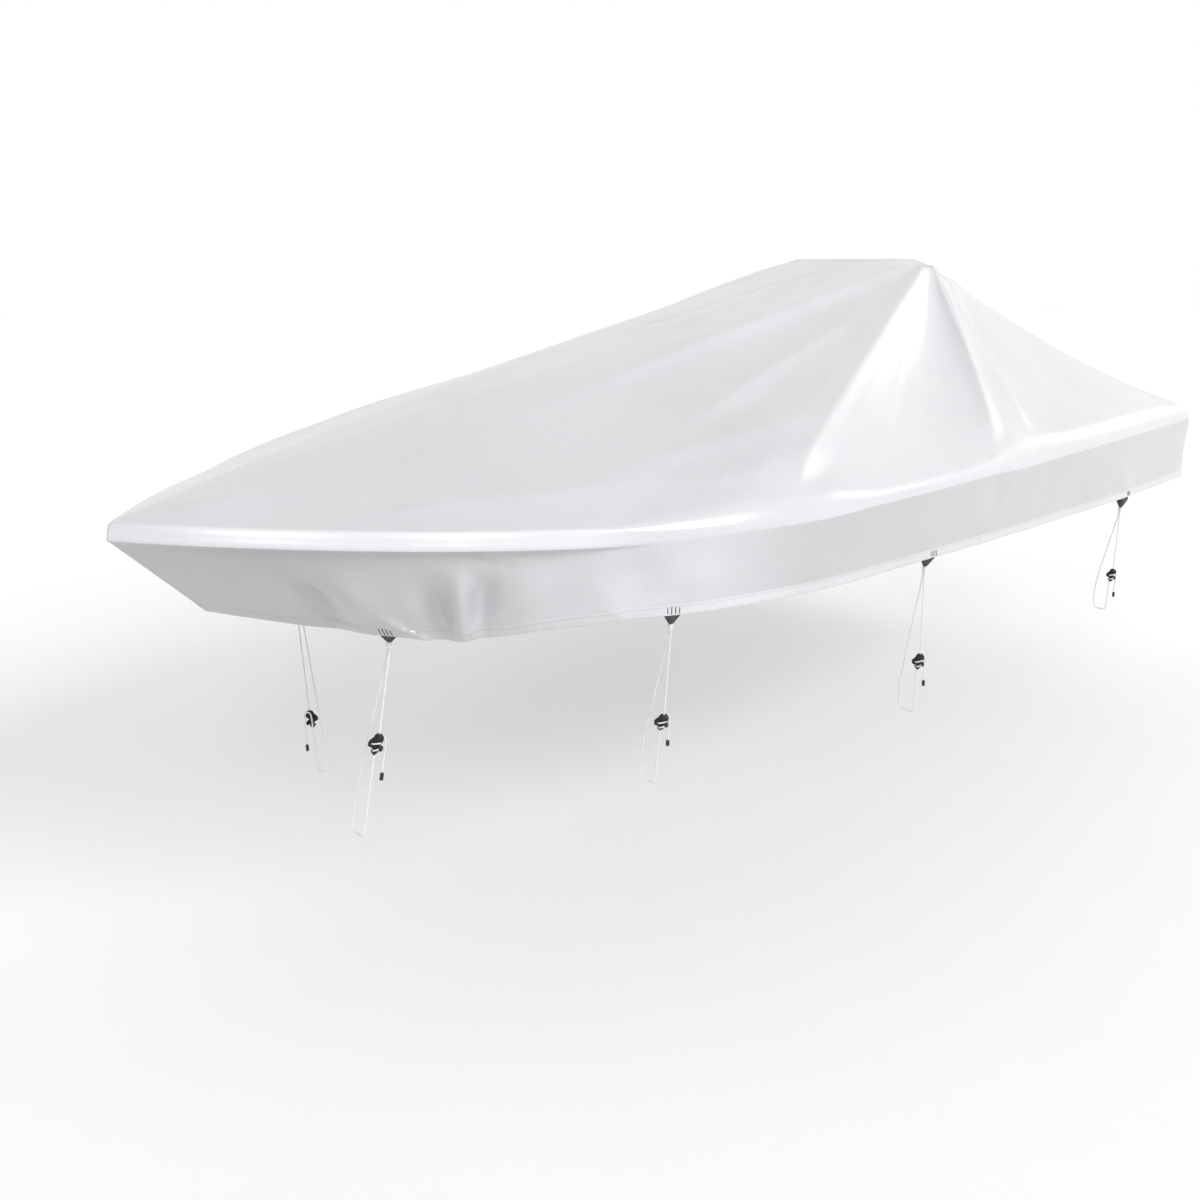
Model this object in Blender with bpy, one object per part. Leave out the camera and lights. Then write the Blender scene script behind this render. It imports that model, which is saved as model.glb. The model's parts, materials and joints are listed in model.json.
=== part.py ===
"""A fitted boat cover, tied down: one sheet of coated cloth with its hem, and seven ties.

The sheet is drawn tight from a flat peak to a boat-shaped rim, rolls over the rim and hangs as a
skirt. Each tie is a webbing tab behind the hem, a knot, a rope in two runs, a cleat and an end cap.

Metres. +X is port, +Y is aft and +Z is up. Lengths along the cover are counted aft from the bow
tip and heights from the bow tip; place() moves them to the origin, under the middle of the peak.
"""

import math

import bmesh
import bpy
import numpy as np
from mathutils import Matrix, Vector

# Plan of the rim
LENGTH = 4.59
HALF_BEAM = 0.977
BEAM_AFT = 1.78  # where the rim is widest
BOW_FULLNESS = 2.43
STERN_HALF = 0.815
STERN_CORNER = 0.06

# Height of the rim: it falls from the bow tip
SHEER_DROP = 0.048
SHEER_AFT = 2.42
STERN_DROP = 0.037

# The flat peak
PEAK_AFT = 3.06
PEAK_HALF = 0.345
PEAK_HALF_DEPTH = 0.03
PEAK_HEIGHT = 0.612
PEAK_STEPS = (-0.345, -0.26, -0.13, 0.0, 0.13, 0.26, 0.345)
PEAK_DROP = 0.026  # how much lower its ends lie than its middle
PEAK_DROP_FROM = 0.24

# The sheet
THICKNESS = 0.002
HEM_HEIGHT = 0.028
HEM_PROUD = 0.0015
BOW_RAKE = 0.236  # how far aft of the tip the stem's foot lies
RAKE_END = 1.1
STERN_LEAN = 0.035  # how much further forward the stern's hem lies
RIM_LIFT = 0.6  # share of the roll's radius by which the cloth stands above the rim
RIM_STEP = 0.012  # height in which the skirt tucks in under the rim band
RIM_TUCK = 0.3  # share of the skirt's inward lean taken in that step
TUCK_ENDS = (0.72, 0.98)  # aft of this the skirt runs smoothly out of the roll

# Shape of the drawn cloth between peak and rim, in degrees round a corner of the peak from the bow
SIDE_HOLLOW = 0.036
SIDE_RIDGES = {+1: (18.5, 47.0), -1: (22.0, 51.0)}
FORE_HOLLOW = 0.02
FORE_RIDGES = (-4.0, 18.5)
AFT_SAG = 0.155
AFT_SAG_FROM = (50.0, 95.0)
FORE_CROWN = 0.022
CROWN_ENDS = (5.0, 30.0)

# Ties
CORD_DIAMETER = 0.0045
CORD_SIDES = 2  # bevel_resolution
SEAT = 0.0003  # gap between pieces that touch
TAB_WIDTH = 0.052
TAB_FLARE = 1.3  # how much wider a tab grows for each metre up from its tip
TAB_TIP = 0.009
TAB_TUCK = 0.016  # how far a tab reaches up behind the hem
TAB_THICKNESS = 0.0028
TAB_REACH = 0.046  # the hem is flat this far to each side of a tab's middle
KNOT_PROFILE = ((0.0, 0.0044), (0.0045, 0.0078), (0.011, 0.0074), (0.018, 0.0055))
RUN_APART = 0.0056  # between the two runs where they leave the knot
LEAD = 0.012  # how far a run leaves a fitting straight before it turns
LOOP_WIDTH = 0.05
LOOP_BEND = 0.012
TURN_WIDTH = 0.022  # of the bight behind a cleat
CLEAT_HEIGHT = 0.052
CLEAT_HEAD = 0.006  # how far to the tail's side of the cleat's foot its head lies
CLEAT_THICKNESS = 0.007
TAIL_LENGTH = 0.045  # below a cleat's foot
CAP_PROFILE = ((0.0, 0.0036), (0.004, 0.0048), (0.017, 0.0048), (0.02, 0.0034))

# aft of the tip, the roll's radius, the flat band under it
RIM_EDGE = (
    (0.00, 0.012, 0.028),
    (0.85, 0.012, 0.028),
    (1.15, 0.044, 0.006),
    (1.45, 0.040, 0.004),
    (1.68, 0.020, 0.004),
    (2.35, 0.020, 0.004),
    (2.55, 0.040, 0.004),
    (4.30, 0.045, 0.004),
    (4.59, 0.035, 0.004),
)

# aft, the skirt's depth below the rim, how far its hem lies inside the rim
SKIRT = (
    (0.00, 0.245, 0.000),
    (0.25, 0.272, 0.075),
    (0.50, 0.281, 0.075),
    (0.70, 0.250, 0.073),
    (0.90, 0.230, 0.068),
    (1.30, 0.222, 0.058),
    (2.00, 0.224, 0.045),
    (2.70, 0.244, 0.034),
    (3.60, 0.267, 0.028),
    (4.59, 0.285, 0.027),
)

# side, aft at the rim, half width, how far it stands out, where it starts and ends down the
# skirt (0 rim, 1 hem), how far aft it drifts from rim to hem
SKIRT_FOLDS = (
    (+1, 0.13, 0.060, +0.007, 0.10, 0.90, 0.03),
    (+1, 0.215, 0.050, -0.017, 0.15, 1.00, 0.06),
    (+1, 0.315, 0.065, +0.017, 0.10, 1.10, 0.03),
    (+1, 0.47, 0.055, -0.021, 0.10, 1.15, 0.03),
    (+1, 0.545, 0.038, +0.025, 0.10, 1.15, -0.035),
    (+1, 0.61, 0.035, -0.019, 0.10, 1.00, -0.07),
    (+1, 0.71, 0.055, +0.012, 0.15, 0.90, -0.08),
    (+1, 0.92, 0.060, -0.010, 0.00, 0.85, 0.02),
    (+1, 1.08, 0.070, +0.007, 0.15, 1.05, 0.00),
    (+1, 1.52, 0.100, -0.004, 0.10, 0.90, 0.10),
    (+1, 1.98, 0.080, +0.004, 0.30, 1.10, 0.05),
    (+1, 2.44, 0.060, -0.006, -0.10, 0.70, -0.08),
    (+1, 3.60, 0.080, +0.005, 0.30, 1.10, 0.05),
    (-1, 0.20, 0.080, -0.006, 0.15, 0.95, 0.04),
    (-1, 0.40, 0.080, +0.009, 0.10, 1.00, 0.02),
    (-1, 0.60, 0.050, -0.011, 0.30, 1.10, -0.02),
    (-1, 0.82, 0.060, +0.008, 0.10, 1.00, 0.00),
    (-1, 1.06, 0.060, -0.008, 0.10, 1.05, 0.01),
    (-1, 1.45, 0.100, -0.004, 0.10, 0.90, 0.08),
    (-1, 2.02, 0.080, +0.006, 0.30, 1.10, 0.03),
    (-1, 2.48, 0.060, -0.006, -0.10, 0.70, -0.06),
    (-1, 3.66, 0.080, +0.005, 0.30, 1.10, 0.00),
    (+1, 4.95, 0.090, -0.006, 0.10, 0.95, 0.03),
    (-1, 5.05, 0.100, -0.006, 0.10, 0.95, -0.03),
)

# start x, start aft, end x, end aft, height (below zero for a dip), half width
DECK_FOLDS = (
    (0.33, 3.12, 0.99, 1.10, 0.013, 0.038),
    (0.33, 3.10, 1.05, 2.36, 0.009, 0.026),
    (-0.33, 3.12, -1.00, 1.30, 0.011, 0.042),
    (-0.33, 3.10, -1.02, 2.48, 0.009, 0.030),
    (0.34, 2.85, 0.22, 1.05, 0.011, 0.075),
    (0.10, 2.80, 0.00, 1.50, 0.008, 0.080),
    (0.55, 2.10, 0.55, 1.05, 0.008, 0.070),
    (0.76, 1.62, 0.62, 0.90, 0.009, 0.060),
    (-0.34, 2.60, -0.24, 1.15, -0.012, 0.090),
    (-0.50, 0.42, -0.34, 1.25, 0.020, 0.120),
    (-0.62, 2.00, -0.56, 1.05, 0.009, 0.075),
    (0.48, 3.14, 0.78, 3.30, 0.009, 0.050),
    (-0.46, 3.16, -0.76, 3.38, 0.009, 0.050),
    (0.10, 3.20, 0.22, 4.30, 0.010, 0.080),
    (0.50, 3.60, 0.74, 4.36, -0.013, 0.070),
)

# name, side, aft at the rim, how much of its tab shows and how far it is turned towards the bow
# in degrees; then the foot of its loop: x, aft, height; then the cleat's place from the foot (0)
# to the knot (1)
TIES = (
    ("port_1", +1, 0.357, 0.027, 0, 0.283, 0.489, -0.800, 0.45),
    ("port_2", +1, 1.020, 0.029, 0, 0.590, 1.205, -0.800, 0.39),
    ("port_3", +1, 2.050, 0.036, 30, 0.821, 2.150, -0.800, 0.33),
    ("port_4", +1, 3.690, 0.052, 35, 0.800, 3.688, -0.804, 0.30),
    ("starboard_2", -1, 0.800, 0.030, 0, -0.450, 0.820, -0.965, 0.19),
    ("starboard_3", -1, 2.050, 0.034, 20, -0.821, 2.150, -0.800, 0.33),
    ("starboard_4", -1, 3.690, 0.048, 25, -0.800, 3.700, -0.804, 0.32),
)

# name, colour, roughness
MATERIALS = {
    "cover_cloth": ((0.74, 0.75, 0.77), 0.42),
    "webbing": ((0.012, 0.012, 0.013), 0.8),
    "rope": ((0.82, 0.82, 0.80), 0.65),
    "moulded_plastic": ((0.010, 0.010, 0.011), 0.4),
}


def column(table, index):
    """One column of a table of rows as an array."""
    return np.array([row[index] for row in table])


def smooth(value, low, high):
    """0 at low, 1 at high, with level ends."""
    share = np.clip((np.asarray(value, float) - low) / (high - low), 0, 1)
    return share * share * (3 - 2 * share)


def half_beam(aft):
    fore = np.clip(aft / BEAM_AFT, 0, 1)
    tail = np.clip((aft - BEAM_AFT) / (LENGTH - BEAM_AFT), 0, 1)
    return HALF_BEAM * (1 - (1 - fore) ** BOW_FULLNESS) - (HALF_BEAM - STERN_HALF) * tail**2


def rim_height(aft):
    fore = np.clip(aft / SHEER_AFT, 0, 1)
    tail = np.clip((aft - SHEER_AFT) / (LENGTH - SHEER_AFT), 0, 1)
    return -SHEER_DROP * (1 - (1 - fore) ** 2) - STERN_DROP * tail**2


def port_rim():
    """The rim's port half in plan, from the bow tip round the stern corner to the middle."""
    side_end = LENGTH - STERN_CORNER
    aft = np.linspace(0, 1, 240) ** 1.5 * side_end
    side = np.c_[half_beam(aft), aft]
    turn = np.radians(np.linspace(0, 90, 9))[1:]
    inner = half_beam(side_end) - STERN_CORNER
    corner = np.c_[inner + STERN_CORNER * np.cos(turn), side_end + STERN_CORNER * np.sin(turn)]
    stern = np.c_[np.linspace(inner, 0, 30)[1:], np.full(29, LENGTH)]
    return np.r_[side, corner, stern]


RIM = port_rim()
RIM_RUN = np.r_[0, np.cumsum(np.hypot(*np.diff(RIM, axis=0).T))]
RIM_HALF = RIM_RUN[-1]
RIM_RING = np.r_[RIM, RIM[-2:0:-1] * [-1, 1]]


def rim_normals():
    along = np.gradient(RIM, RIM_RUN, axis=0)
    along /= np.linalg.norm(along, axis=1)[:, None]
    return np.c_[along[:, 1], -along[:, 0]]


RIM_NORMALS = rim_normals()


def run_at(aft):
    """Distance along the rim to this far aft; past the stern corner it is the distance itself."""
    return float(np.interp(aft, RIM[:, 1], RIM_RUN)) if aft < LENGTH else aft


def rim_point(run):
    """x, aft and the outward normal at a signed distance along the rim, port positive."""
    size = np.abs(run)
    side = np.where(np.asarray(run) < 0, -1.0, 1.0)
    x, aft = (np.interp(size, RIM_RUN, RIM[:, i]) for i in (0, 1))
    out_x, out_aft = (np.interp(size, RIM_RUN, RIM_NORMALS[:, i]) for i in (0, 1))
    return x * side, aft, out_x * side, out_aft


def skirt_sizes(aft):
    """The roll's radius, the band under it, the skirt's depth and how far its hem lies inside."""
    radius, band = (np.interp(aft, column(RIM_EDGE, 0), column(RIM_EDGE, i)) for i in (1, 2))
    depth, inside = (np.interp(aft, column(SKIRT, 0), column(SKIRT, i)) for i in (1, 2))
    return radius, band, depth + RIM_LIFT * radius, inside


def rim_top(aft):
    """The height at which the drawn cloth would meet the rim if it didn't roll over it."""
    return rim_height(aft) + RIM_LIFT * skirt_sizes(aft)[0]


def skirt_fold(run, down):
    """How far the skirt's folds stand out at a distance along the rim and a share of its depth."""
    total = np.zeros(np.broadcast(run, down).shape)
    for side, aft, half_width, out, start, end, drift in SKIRT_FOLDS:
        centre = side * (run_at(aft) + drift * down)
        across = np.exp(-(((run - centre) / half_width) ** 2))
        middle = (start + end) / 2
        window = smooth(down, start, middle) * (1 - smooth(down, middle, end + 0.25))
        total = total + out * across * window * 1.3
    return total


def skirt_point(run, row):
    """A point of the skirt's outer face: row is 0 where the roll ends and 1 at the hem's edge."""
    x, aft, out_x, out_aft = rim_point(run)
    radius, band, depth, inside = skirt_sizes(aft)
    tops = (radius, radius + band, radius + band + RIM_STEP, depth - HEM_HEIGHT, depth)
    rows = (0.0, 0.1, 0.2, 0.88, 1.0)
    drop = np.zeros(np.broadcast(run, row).shape)
    for low, high, first, last in zip(rows, rows[1:], tops, tops[1:]):
        share = np.clip((row - low) / (high - low), 0, 1)
        drop = np.where(row >= low, first + (last - first) * share, drop)
    below = np.clip((drop - radius - band) / (depth - radius - band), 0, 1)
    tucked = smooth(drop, radius + band, radius + band + RIM_STEP)
    inside = inside + STERN_LEAN * np.clip(out_aft, 0, 1) ** 2 * (aft > BEAM_AFT)
    tuck = RIM_TUCK * (1 - smooth(aft, *TUCK_ENDS))
    lean = inside * (tuck * tucked + (1 - tuck) * below)
    lean = lean - HEM_PROUD * smooth(row, 0.88, 0.9) - skirt_fold(run, below)
    rake = BOW_RAKE * np.clip(1 - aft / RAKE_END, 0, 1) ** 2 * below
    side = np.sign(x)
    x = x - out_x * lean
    x = np.where(x * side < 0, 0, x) * (np.abs(run) < RIM_HALF)
    return x, aft - out_aft * lean + rake, rim_top(aft) - drop


def peak_height(x):
    return PEAK_HEIGHT - PEAK_DROP * smooth(np.abs(x), PEAK_DROP_FROM, PEAK_HALF)


def peak_tables():
    """From points round the flat peak: the rim's bearing, distance and height."""
    tables = []
    for aft in (PEAK_AFT - PEAK_HALF_DEPTH, PEAK_AFT + PEAK_HALF_DEPTH):
        for x in PEAK_STEPS:
            away = RIM_RING - [x, aft]
            bearing = np.arctan2(away[:, 0], -away[:, 1])
            order = np.argsort(bearing)
            reach = np.hypot(*away.T)
            tables.append((x, aft, bearing[order], reach[order], rim_top(RIM_RING[order, 1])))
    return tables


PEAK_TABLES = peak_tables()


def drawn_height(x, aft):
    """The cloth drawn tight between peak and rim: its height and its share of the way out."""
    height = np.full(np.shape(x), -np.inf)
    share = np.zeros(np.shape(x))
    for peak_x, peak_aft, bearings, reaches, heights in PEAK_TABLES:
        away_x, away_aft = x - peak_x, aft - peak_aft
        bearing = np.arctan2(away_x, -away_aft)
        reach = np.interp(bearing, bearings, reaches, period=2 * np.pi)
        rim = np.interp(bearing, bearings, heights, period=2 * np.pi)
        out = np.minimum(np.hypot(away_x, away_aft) / reach, 1)
        top = peak_height(peak_x)
        here = top + (rim - top) * out
        higher = here > height
        height = np.where(higher, here, height)
        share = np.where(higher, out, share)
    flat = (np.abs(x) <= PEAK_HALF) & (np.abs(aft - PEAK_AFT) <= PEAK_HALF_DEPTH)
    return np.where(flat, peak_height(x), height), np.where(flat, 0, share)


def rim_distance(x, aft):
    """Distance in plan from each point to the rim."""
    start = RIM_RING
    step = np.roll(RIM_RING, -1, axis=0) - start
    nearest = np.full(np.shape(x), np.inf)
    for (start_x, start_aft), (step_x, step_aft) in zip(start, step):
        along = (x - start_x) * step_x + (aft - start_aft) * step_aft
        along = np.clip(along / (step_x**2 + step_aft**2), 0, 1)
        gap = np.hypot(x - start_x - along * step_x, aft - start_aft - along * step_aft)
        nearest = np.minimum(nearest, gap)
    return nearest


def hollow(bearing, ends, share, depth):
    """A panel's sag between two ridges that run out from a corner of the peak."""
    across = np.clip((bearing - ends[0]) / (ends[1] - ends[0]), 0, 1)
    return -depth * np.sin(np.pi * across) * 4 * share * (1 - share)


def deck_fold(x, aft):
    """The folds that run along the drawn cloth, each on a line in plan."""
    total = np.zeros(np.shape(x))
    for start_x, start_aft, end_x, end_aft, height, half_width in DECK_FOLDS:
        run_x, run_aft = end_x - start_x, end_aft - start_aft
        length = math.hypot(run_x, run_aft)
        along = ((x - start_x) * run_x + (aft - start_aft) * run_aft) / length**2
        across = ((x - start_x) * run_aft - (aft - start_aft) * run_x) / length
        window = smooth(along, -0.1, 0.35) * (1 - smooth(along, 0.6, 1.15))
        total = total + height * np.exp(-((across / half_width) ** 2)) * window
    return total


def deck_height(x, aft):
    """The height of the drawn cloth's outer face, over a point in plan inside the rim."""
    x, aft = np.asarray(x, float), np.asarray(aft, float)
    height, share = drawn_height(x, aft)
    bearing = np.degrees(np.arctan2(np.abs(x) - PEAK_HALF, PEAK_AFT - aft))
    bearing = np.mod(bearing + 90, 360) - 90
    for side, ridges in SIDE_RIDGES.items():
        this_side = x * side > 0
        height = height + hollow(bearing, ridges, share, SIDE_HOLLOW) * this_side
    height = height + hollow(bearing, FORE_RIDGES, share, FORE_HOLLOW)
    height = height - AFT_SAG * smooth(bearing, *AFT_SAG_FROM) * np.sqrt(share) * (1 - share)
    crown = 6.75 * share**2 * (1 - share) * (1 - smooth(bearing, *CROWN_ENDS))
    height = height + FORE_CROWN * crown
    edge = rim_distance(x, aft)
    radius = skirt_sizes(aft)[0]
    height = height + deck_fold(x, aft) * smooth(edge, 0, 0.1)
    inward = np.clip(1 - edge / radius, 0, 1)
    return height - radius * (1 - np.sqrt(1 - inward**2))


def place(x, aft, height):
    """Moves a point to the cover's own frame, whose origin is under the middle of the peak."""
    return Vector((float(x), float(aft) - PEAK_AFT, float(height) - PEAK_HEIGHT + THICKNESS))


def stations(side):
    """Distances along one side's rim at which the sheet has a column of points."""
    wanted = [0.05, 0.11, run_at(LENGTH - STERN_CORNER), RIM_HALF - 0.17, RIM_HALF - 0.5]
    wanted.append(run_at(LENGTH - STERN_CORNER) + STERN_CORNER * math.pi / 4)
    wanted.append(run_at(LENGTH - STERN_CORNER) + STERN_CORNER * math.pi / 2)
    wanted += [run_at(aft) for aft in (1.22, 1.30, 1.38, 2.42, 2.47, 2.52)]
    tabs = [run_at(tie[2]) for tie in TIES if tie[1] == side]
    for fold in SKIRT_FOLDS:
        if fold[0] == side:
            middle = run_at(fold[1]) + fold[6] / 2
            wanted += [middle, middle - 0.8 * fold[2], middle + 0.8 * fold[2]]
    wanted += list(np.linspace(0, RIM_HALF, 38)[1:-1])
    chosen = [0.0, RIM_HALF] + [tab + step for tab in tabs for step in (-TAB_REACH, TAB_REACH)]
    for run in wanted:
        by_tab = any(abs(run - tab) < TAB_REACH for tab in tabs)
        if not by_tab and min(abs(run - other) for other in chosen) > 0.024:
            chosen.append(run)
    return sorted(chosen)


def peak_index(x, aft):
    """Which point of the peak's ring a column of the sheet runs to, from the place it starts."""
    step = round(3 * min(1, abs(x) / 0.6))
    return int(aft > PEAK_AFT), 3 + int(math.copysign(step, x))


def new_object(name, bm, material):
    mesh = bpy.data.meshes.new(name)
    bm.to_mesh(mesh)
    bm.free()
    mesh.materials.append(material)
    obj = bpy.data.objects.new(name, mesh)
    bpy.context.scene.collection.objects.link(obj)
    return obj


def make_material(name):
    colour, roughness = MATERIALS[name]
    material = bpy.data.materials.new(name)
    material.use_nodes = True
    shader = material.node_tree.nodes["Principled BSDF"]
    shader.inputs["Base Color"].default_value = (*colour, 1)
    shader.inputs["Roughness"].default_value = roughness
    return material


def cover_rows(runs):
    """Rows of points from the hem's edge up over the rim and in to the peak, a column a station."""
    skirt_rows = (1.0, 0.9, 0.875, 0.7, 0.53, 0.36, 0.2, 0.1)
    rows = [list(zip(*skirt_point(runs, np.full(len(runs), row)))) for row in skirt_rows]
    x, aft, out_x, out_aft = rim_point(runs)
    radius = skirt_sizes(aft)[0]
    ends = [peak_index(*where) for where in zip(x, aft)]
    end_x = np.array([PEAK_STEPS[step] for _, step in ends])
    end_aft = np.array([PEAK_AFT + (2 * back - 1) * PEAK_HALF_DEPTH for back, _ in ends])
    in_x, in_aft = end_x - x, end_aft - aft
    facing = -(in_x * out_x + in_aft * out_aft)
    for share in (0.0, 0.3, 1.0):
        inward = share * radius / facing
        where = x + in_x * inward, aft + in_aft * inward
        rows.append(list(zip(*where, deck_height(*where))))
    start = radius / facing
    for share in (0.1, 0.24, 0.4, 0.56, 0.72, 0.86, 0.94, 0.98):
        inward = start + (1 - start) * share
        where = x + in_x * inward, aft + in_aft * inward
        rows.append(list(zip(*where, deck_height(*where))))
    return rows, ends


def build_cover(material):
    """The whole sheet: skirt and hem, the roll over the rim, the drawn cloth and the flat peak."""
    runs = np.array(stations(+1) + [-run for run in stations(-1)[-2:0:-1]])
    rows, ends = cover_rows(runs)
    bm = bmesh.new()
    grid = [[bm.verts.new(place(*point)) for point in row] for row in rows]
    count = len(runs)
    for lower, upper in zip(grid, grid[1:]):
        for i in range(count):
            j = (i + 1) % count
            bm.faces.new((lower[i], lower[j], upper[j], upper[i]))
    ring = {}
    for back in (0, 1):
        for step, x in enumerate(PEAK_STEPS):
            aft = PEAK_AFT + (2 * back - 1) * PEAK_HALF_DEPTH
            ring[back, step] = bm.verts.new(place(x, aft, peak_height(x)))
    last = grid[-1]
    for i in range(count):
        j = (i + 1) % count
        corners = [last[i], last[j], ring[ends[j]]]
        if ends[i] != ends[j]:
            corners.append(ring[ends[i]])
        bm.faces.new(corners)
    for step in range(len(PEAK_STEPS) - 1):
        bm.faces.new((ring[0, step], ring[0, step + 1], ring[1, step + 1], ring[1, step]))
    cover = new_object("cover", bm, material)
    cover.data.shade_smooth()
    wall = cover.modifiers.new("cloth", "SOLIDIFY")
    wall.thickness = THICKNESS
    wall.offset = -1
    return cover


def hem_frame(run):
    """The flat stretch of hem that a tab lies behind: the middle of its inner face, and unit
    vectors along the hem, square to it down the cloth, and out."""
    reach = (-TAB_REACH, TAB_REACH)
    edge, above = (
        [place(*skirt_point(run + step, row)) for step in reach] for row in (1.0, 0.9)
    )
    middle = (edge[0] + edge[1]) / 2
    along = (edge[1] - edge[0]).normalized()
    out = (middle - (above[0] + above[1]) / 2).cross(along).normalized()
    twist = abs((edge[0] - edge[1] - above[0] + above[1]).dot(out))
    lowest = 0.0
    for share in np.linspace(-0.25, 0.25, 7) * TAB_WIDTH / TAB_REACH + 0.5:
        for rise in np.linspace(0, 1, 5) * TAB_TUCK / (HEM_HEIGHT * 0.83):
            point = edge[0].lerp(edge[1], share).lerp(above[0].lerp(above[1], share), rise)
            one_way = min(rise * (1 - share), share * (1 - rise))
            other_way = min(rise * share, (1 - share) * (1 - rise))
            bent = twist * max(one_way, other_way)
            lowest = min(lowest, (point - middle).dot(out) - bent)
    return middle - out * (THICKNESS - lowest), along, along.cross(out), out


def prism(outline, origin, along, down, out, thickness):
    """A flat plate: its outline in along and down, its outer face through origin."""
    bm = bmesh.new()
    faces = []
    for depth in (0, thickness):
        points = [origin + along * a + down * d - out * depth for a, d in outline]
        faces.append([bm.verts.new(point) for point in points])
    count = len(outline)
    bm.faces.new(faces[0])
    bm.faces.new(faces[1][::-1])
    for i in range(count):
        j = (i + 1) % count
        bm.faces.new((faces[0][j], faces[0][i], faces[1][i], faces[1][j]))
    bmesh.ops.recalc_face_normals(bm, faces=bm.faces)
    return bm


def ring_row(profile, origin, axis, last_axis=None):
    """Centre, axis and radius of each ring of a turned body, whose axis can bend on the way."""
    last_axis = last_axis or axis
    rings = []
    centre, before = origin, 0.0
    for along, radius in profile:
        bent = axis.lerp(last_axis, along / profile[-1][0]).normalized()
        centre = centre + bent * (along - before)
        before = along
        rings.append((centre, bent, radius))
    return rings


def turned(rings, sides):
    """A turned body with a flat end at its first and its last ring."""
    bm = bmesh.new()
    rows = []
    aside = rings[0][1].orthogonal()
    for centre, axis, radius in rings:
        spoke = (aside - axis * aside.dot(axis)).normalized() * radius
        across = axis.cross(spoke)
        turns = [2 * math.pi * i / sides for i in range(sides)]
        ring = [centre + spoke * math.cos(turn) + across * math.sin(turn) for turn in turns]
        rows.append([bm.verts.new(point) for point in ring])
    for lower, upper in zip(rows, rows[1:]):
        for i in range(sides):
            j = (i + 1) % sides
            bm.faces.new((lower[i], lower[j], upper[j], upper[i]))
    bm.faces.new(rows[0][::-1])
    bm.faces.new(rows[-1])
    bmesh.ops.recalc_face_normals(bm, faces=bm.faces)
    return bm


def smooth_route(points):
    """Points read from a centripetal Catmull-Rom curve through the route, closer where it turns."""
    ends = [points[0] * 2 - points[1], points[-1] * 2 - points[-2]]
    padded = [ends[0], *points, ends[1]]
    fine = [points[0]]
    for p0, p1, p2, p3 in zip(padded, padded[1:], padded[2:], padded[3:]):
        t1 = (p1 - p0).length ** 0.5
        t2 = t1 + (p2 - p1).length ** 0.5
        t3 = t2 + (p3 - p2).length ** 0.5
        for i in range(1, 25):
            t = t1 + (t2 - t1) * i / 24
            a1 = p0 * ((t1 - t) / t1) + p1 * (t / t1)
            a2 = p1 * ((t2 - t) / (t2 - t1)) + p2 * ((t - t1) / (t2 - t1))
            a3 = p2 * ((t3 - t) / (t3 - t2)) + p3 * ((t - t2) / (t3 - t2))
            b1 = a1 * ((t2 - t) / t2) + a2 * (t / t2)
            b2 = a2 * ((t3 - t) / (t3 - t1)) + a3 * ((t - t1) / (t3 - t1))
            fine.append(b1 * ((t2 - t) / (t2 - t1)) + b2 * ((t - t1) / (t2 - t1)))
    kept = [fine[0]]
    turned_by = 0.0
    for before, here, after in zip(fine, fine[1:], fine[2:]):
        turned_by += (here - before).angle(after - here, 0)
        if turned_by > math.radians(17) or (here - kept[-1]).length > 0.11:
            kept.append(here)
            turned_by = 0.0
    if (fine[-1] - kept[-1]).length < 0.004:
        kept.pop()
    return kept + [fine[-1]]


def cord(name, points, material):
    curve = bpy.data.curves.new(name, "CURVE")
    curve.dimensions = "3D"
    curve.bevel_depth = CORD_DIAMETER / 2
    curve.bevel_resolution = CORD_SIDES
    curve.use_fill_caps = True
    curve.materials.append(material)
    spline = curve.splines.new("POLY")
    spline.points.add(len(points) - 1)
    for target, point in zip(spline.points, points):
        target.co = (*point, 1)
    obj = bpy.data.objects.new(name, curve)
    bpy.context.scene.collection.objects.link(obj)
    return obj


def cleat_outline():
    """A three-part cleat in metres, foot up: a pointed foot, a slanting bar and a round head."""
    lower = [(0.000, 0.000), (0.0085, 0.0095), (0.0035, 0.0105), (0.0040, 0.0135)]
    bar = [(0.0165, 0.0115), (0.0185, 0.0190), (0.0060, 0.0270), (0.0070, 0.0290)]
    head = []
    for turn in range(-60, 181, 40):
        angle = math.radians(turn)
        head.append((CLEAT_HEAD + 0.0115 * math.cos(angle), 0.0405 + 0.0115 * math.sin(angle)))
    arm = [(-0.0160, 0.0300), (-0.0165, 0.0215), (-0.0035, 0.0170), (-0.0035, 0.0105)]
    return lower + bar + head + arm + [(-0.0085, 0.0095)]


def tie_places(tie):
    """The places along one tie, worked out from its foot and the hem."""
    _, side, aft, shown, turn, foot_x, foot_aft, foot_height, cleat_share = tie
    middle, along, down, out = hem_frame(side * run_at(aft))
    turn = side * math.radians(turn)
    tab = middle - out * (SEAT + TAB_WIDTH / 2 * abs(math.sin(turn)))
    spin = Matrix.Rotation(turn, 3, down)
    along, out = spin @ along, spin @ out
    knot = tab + down * (shown + SEAT) - out * (TAB_THICKNESS / 2)
    foot = place(foot_x, foot_aft, foot_height)
    drop = (foot - knot).normalized()
    outward = Vector((side, 0, 0))
    outward = (outward - drop * outward.dot(drop)).normalized()
    knot_rings = ring_row(KNOT_PROFILE, knot, down, drop)
    knot_foot = knot_rings[-1][0]
    return {
        "tab": (tab, along, down, out),
        "knot_rings": knot_rings,
        "knot_foot": knot_foot,
        "foot": foot,
        "up": -drop,
        "inward": -outward,
        "tail_side": (outward + outward.cross(drop)).normalized(),
        "cleat_foot": foot.lerp(knot_foot, cleat_share),
    }


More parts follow.
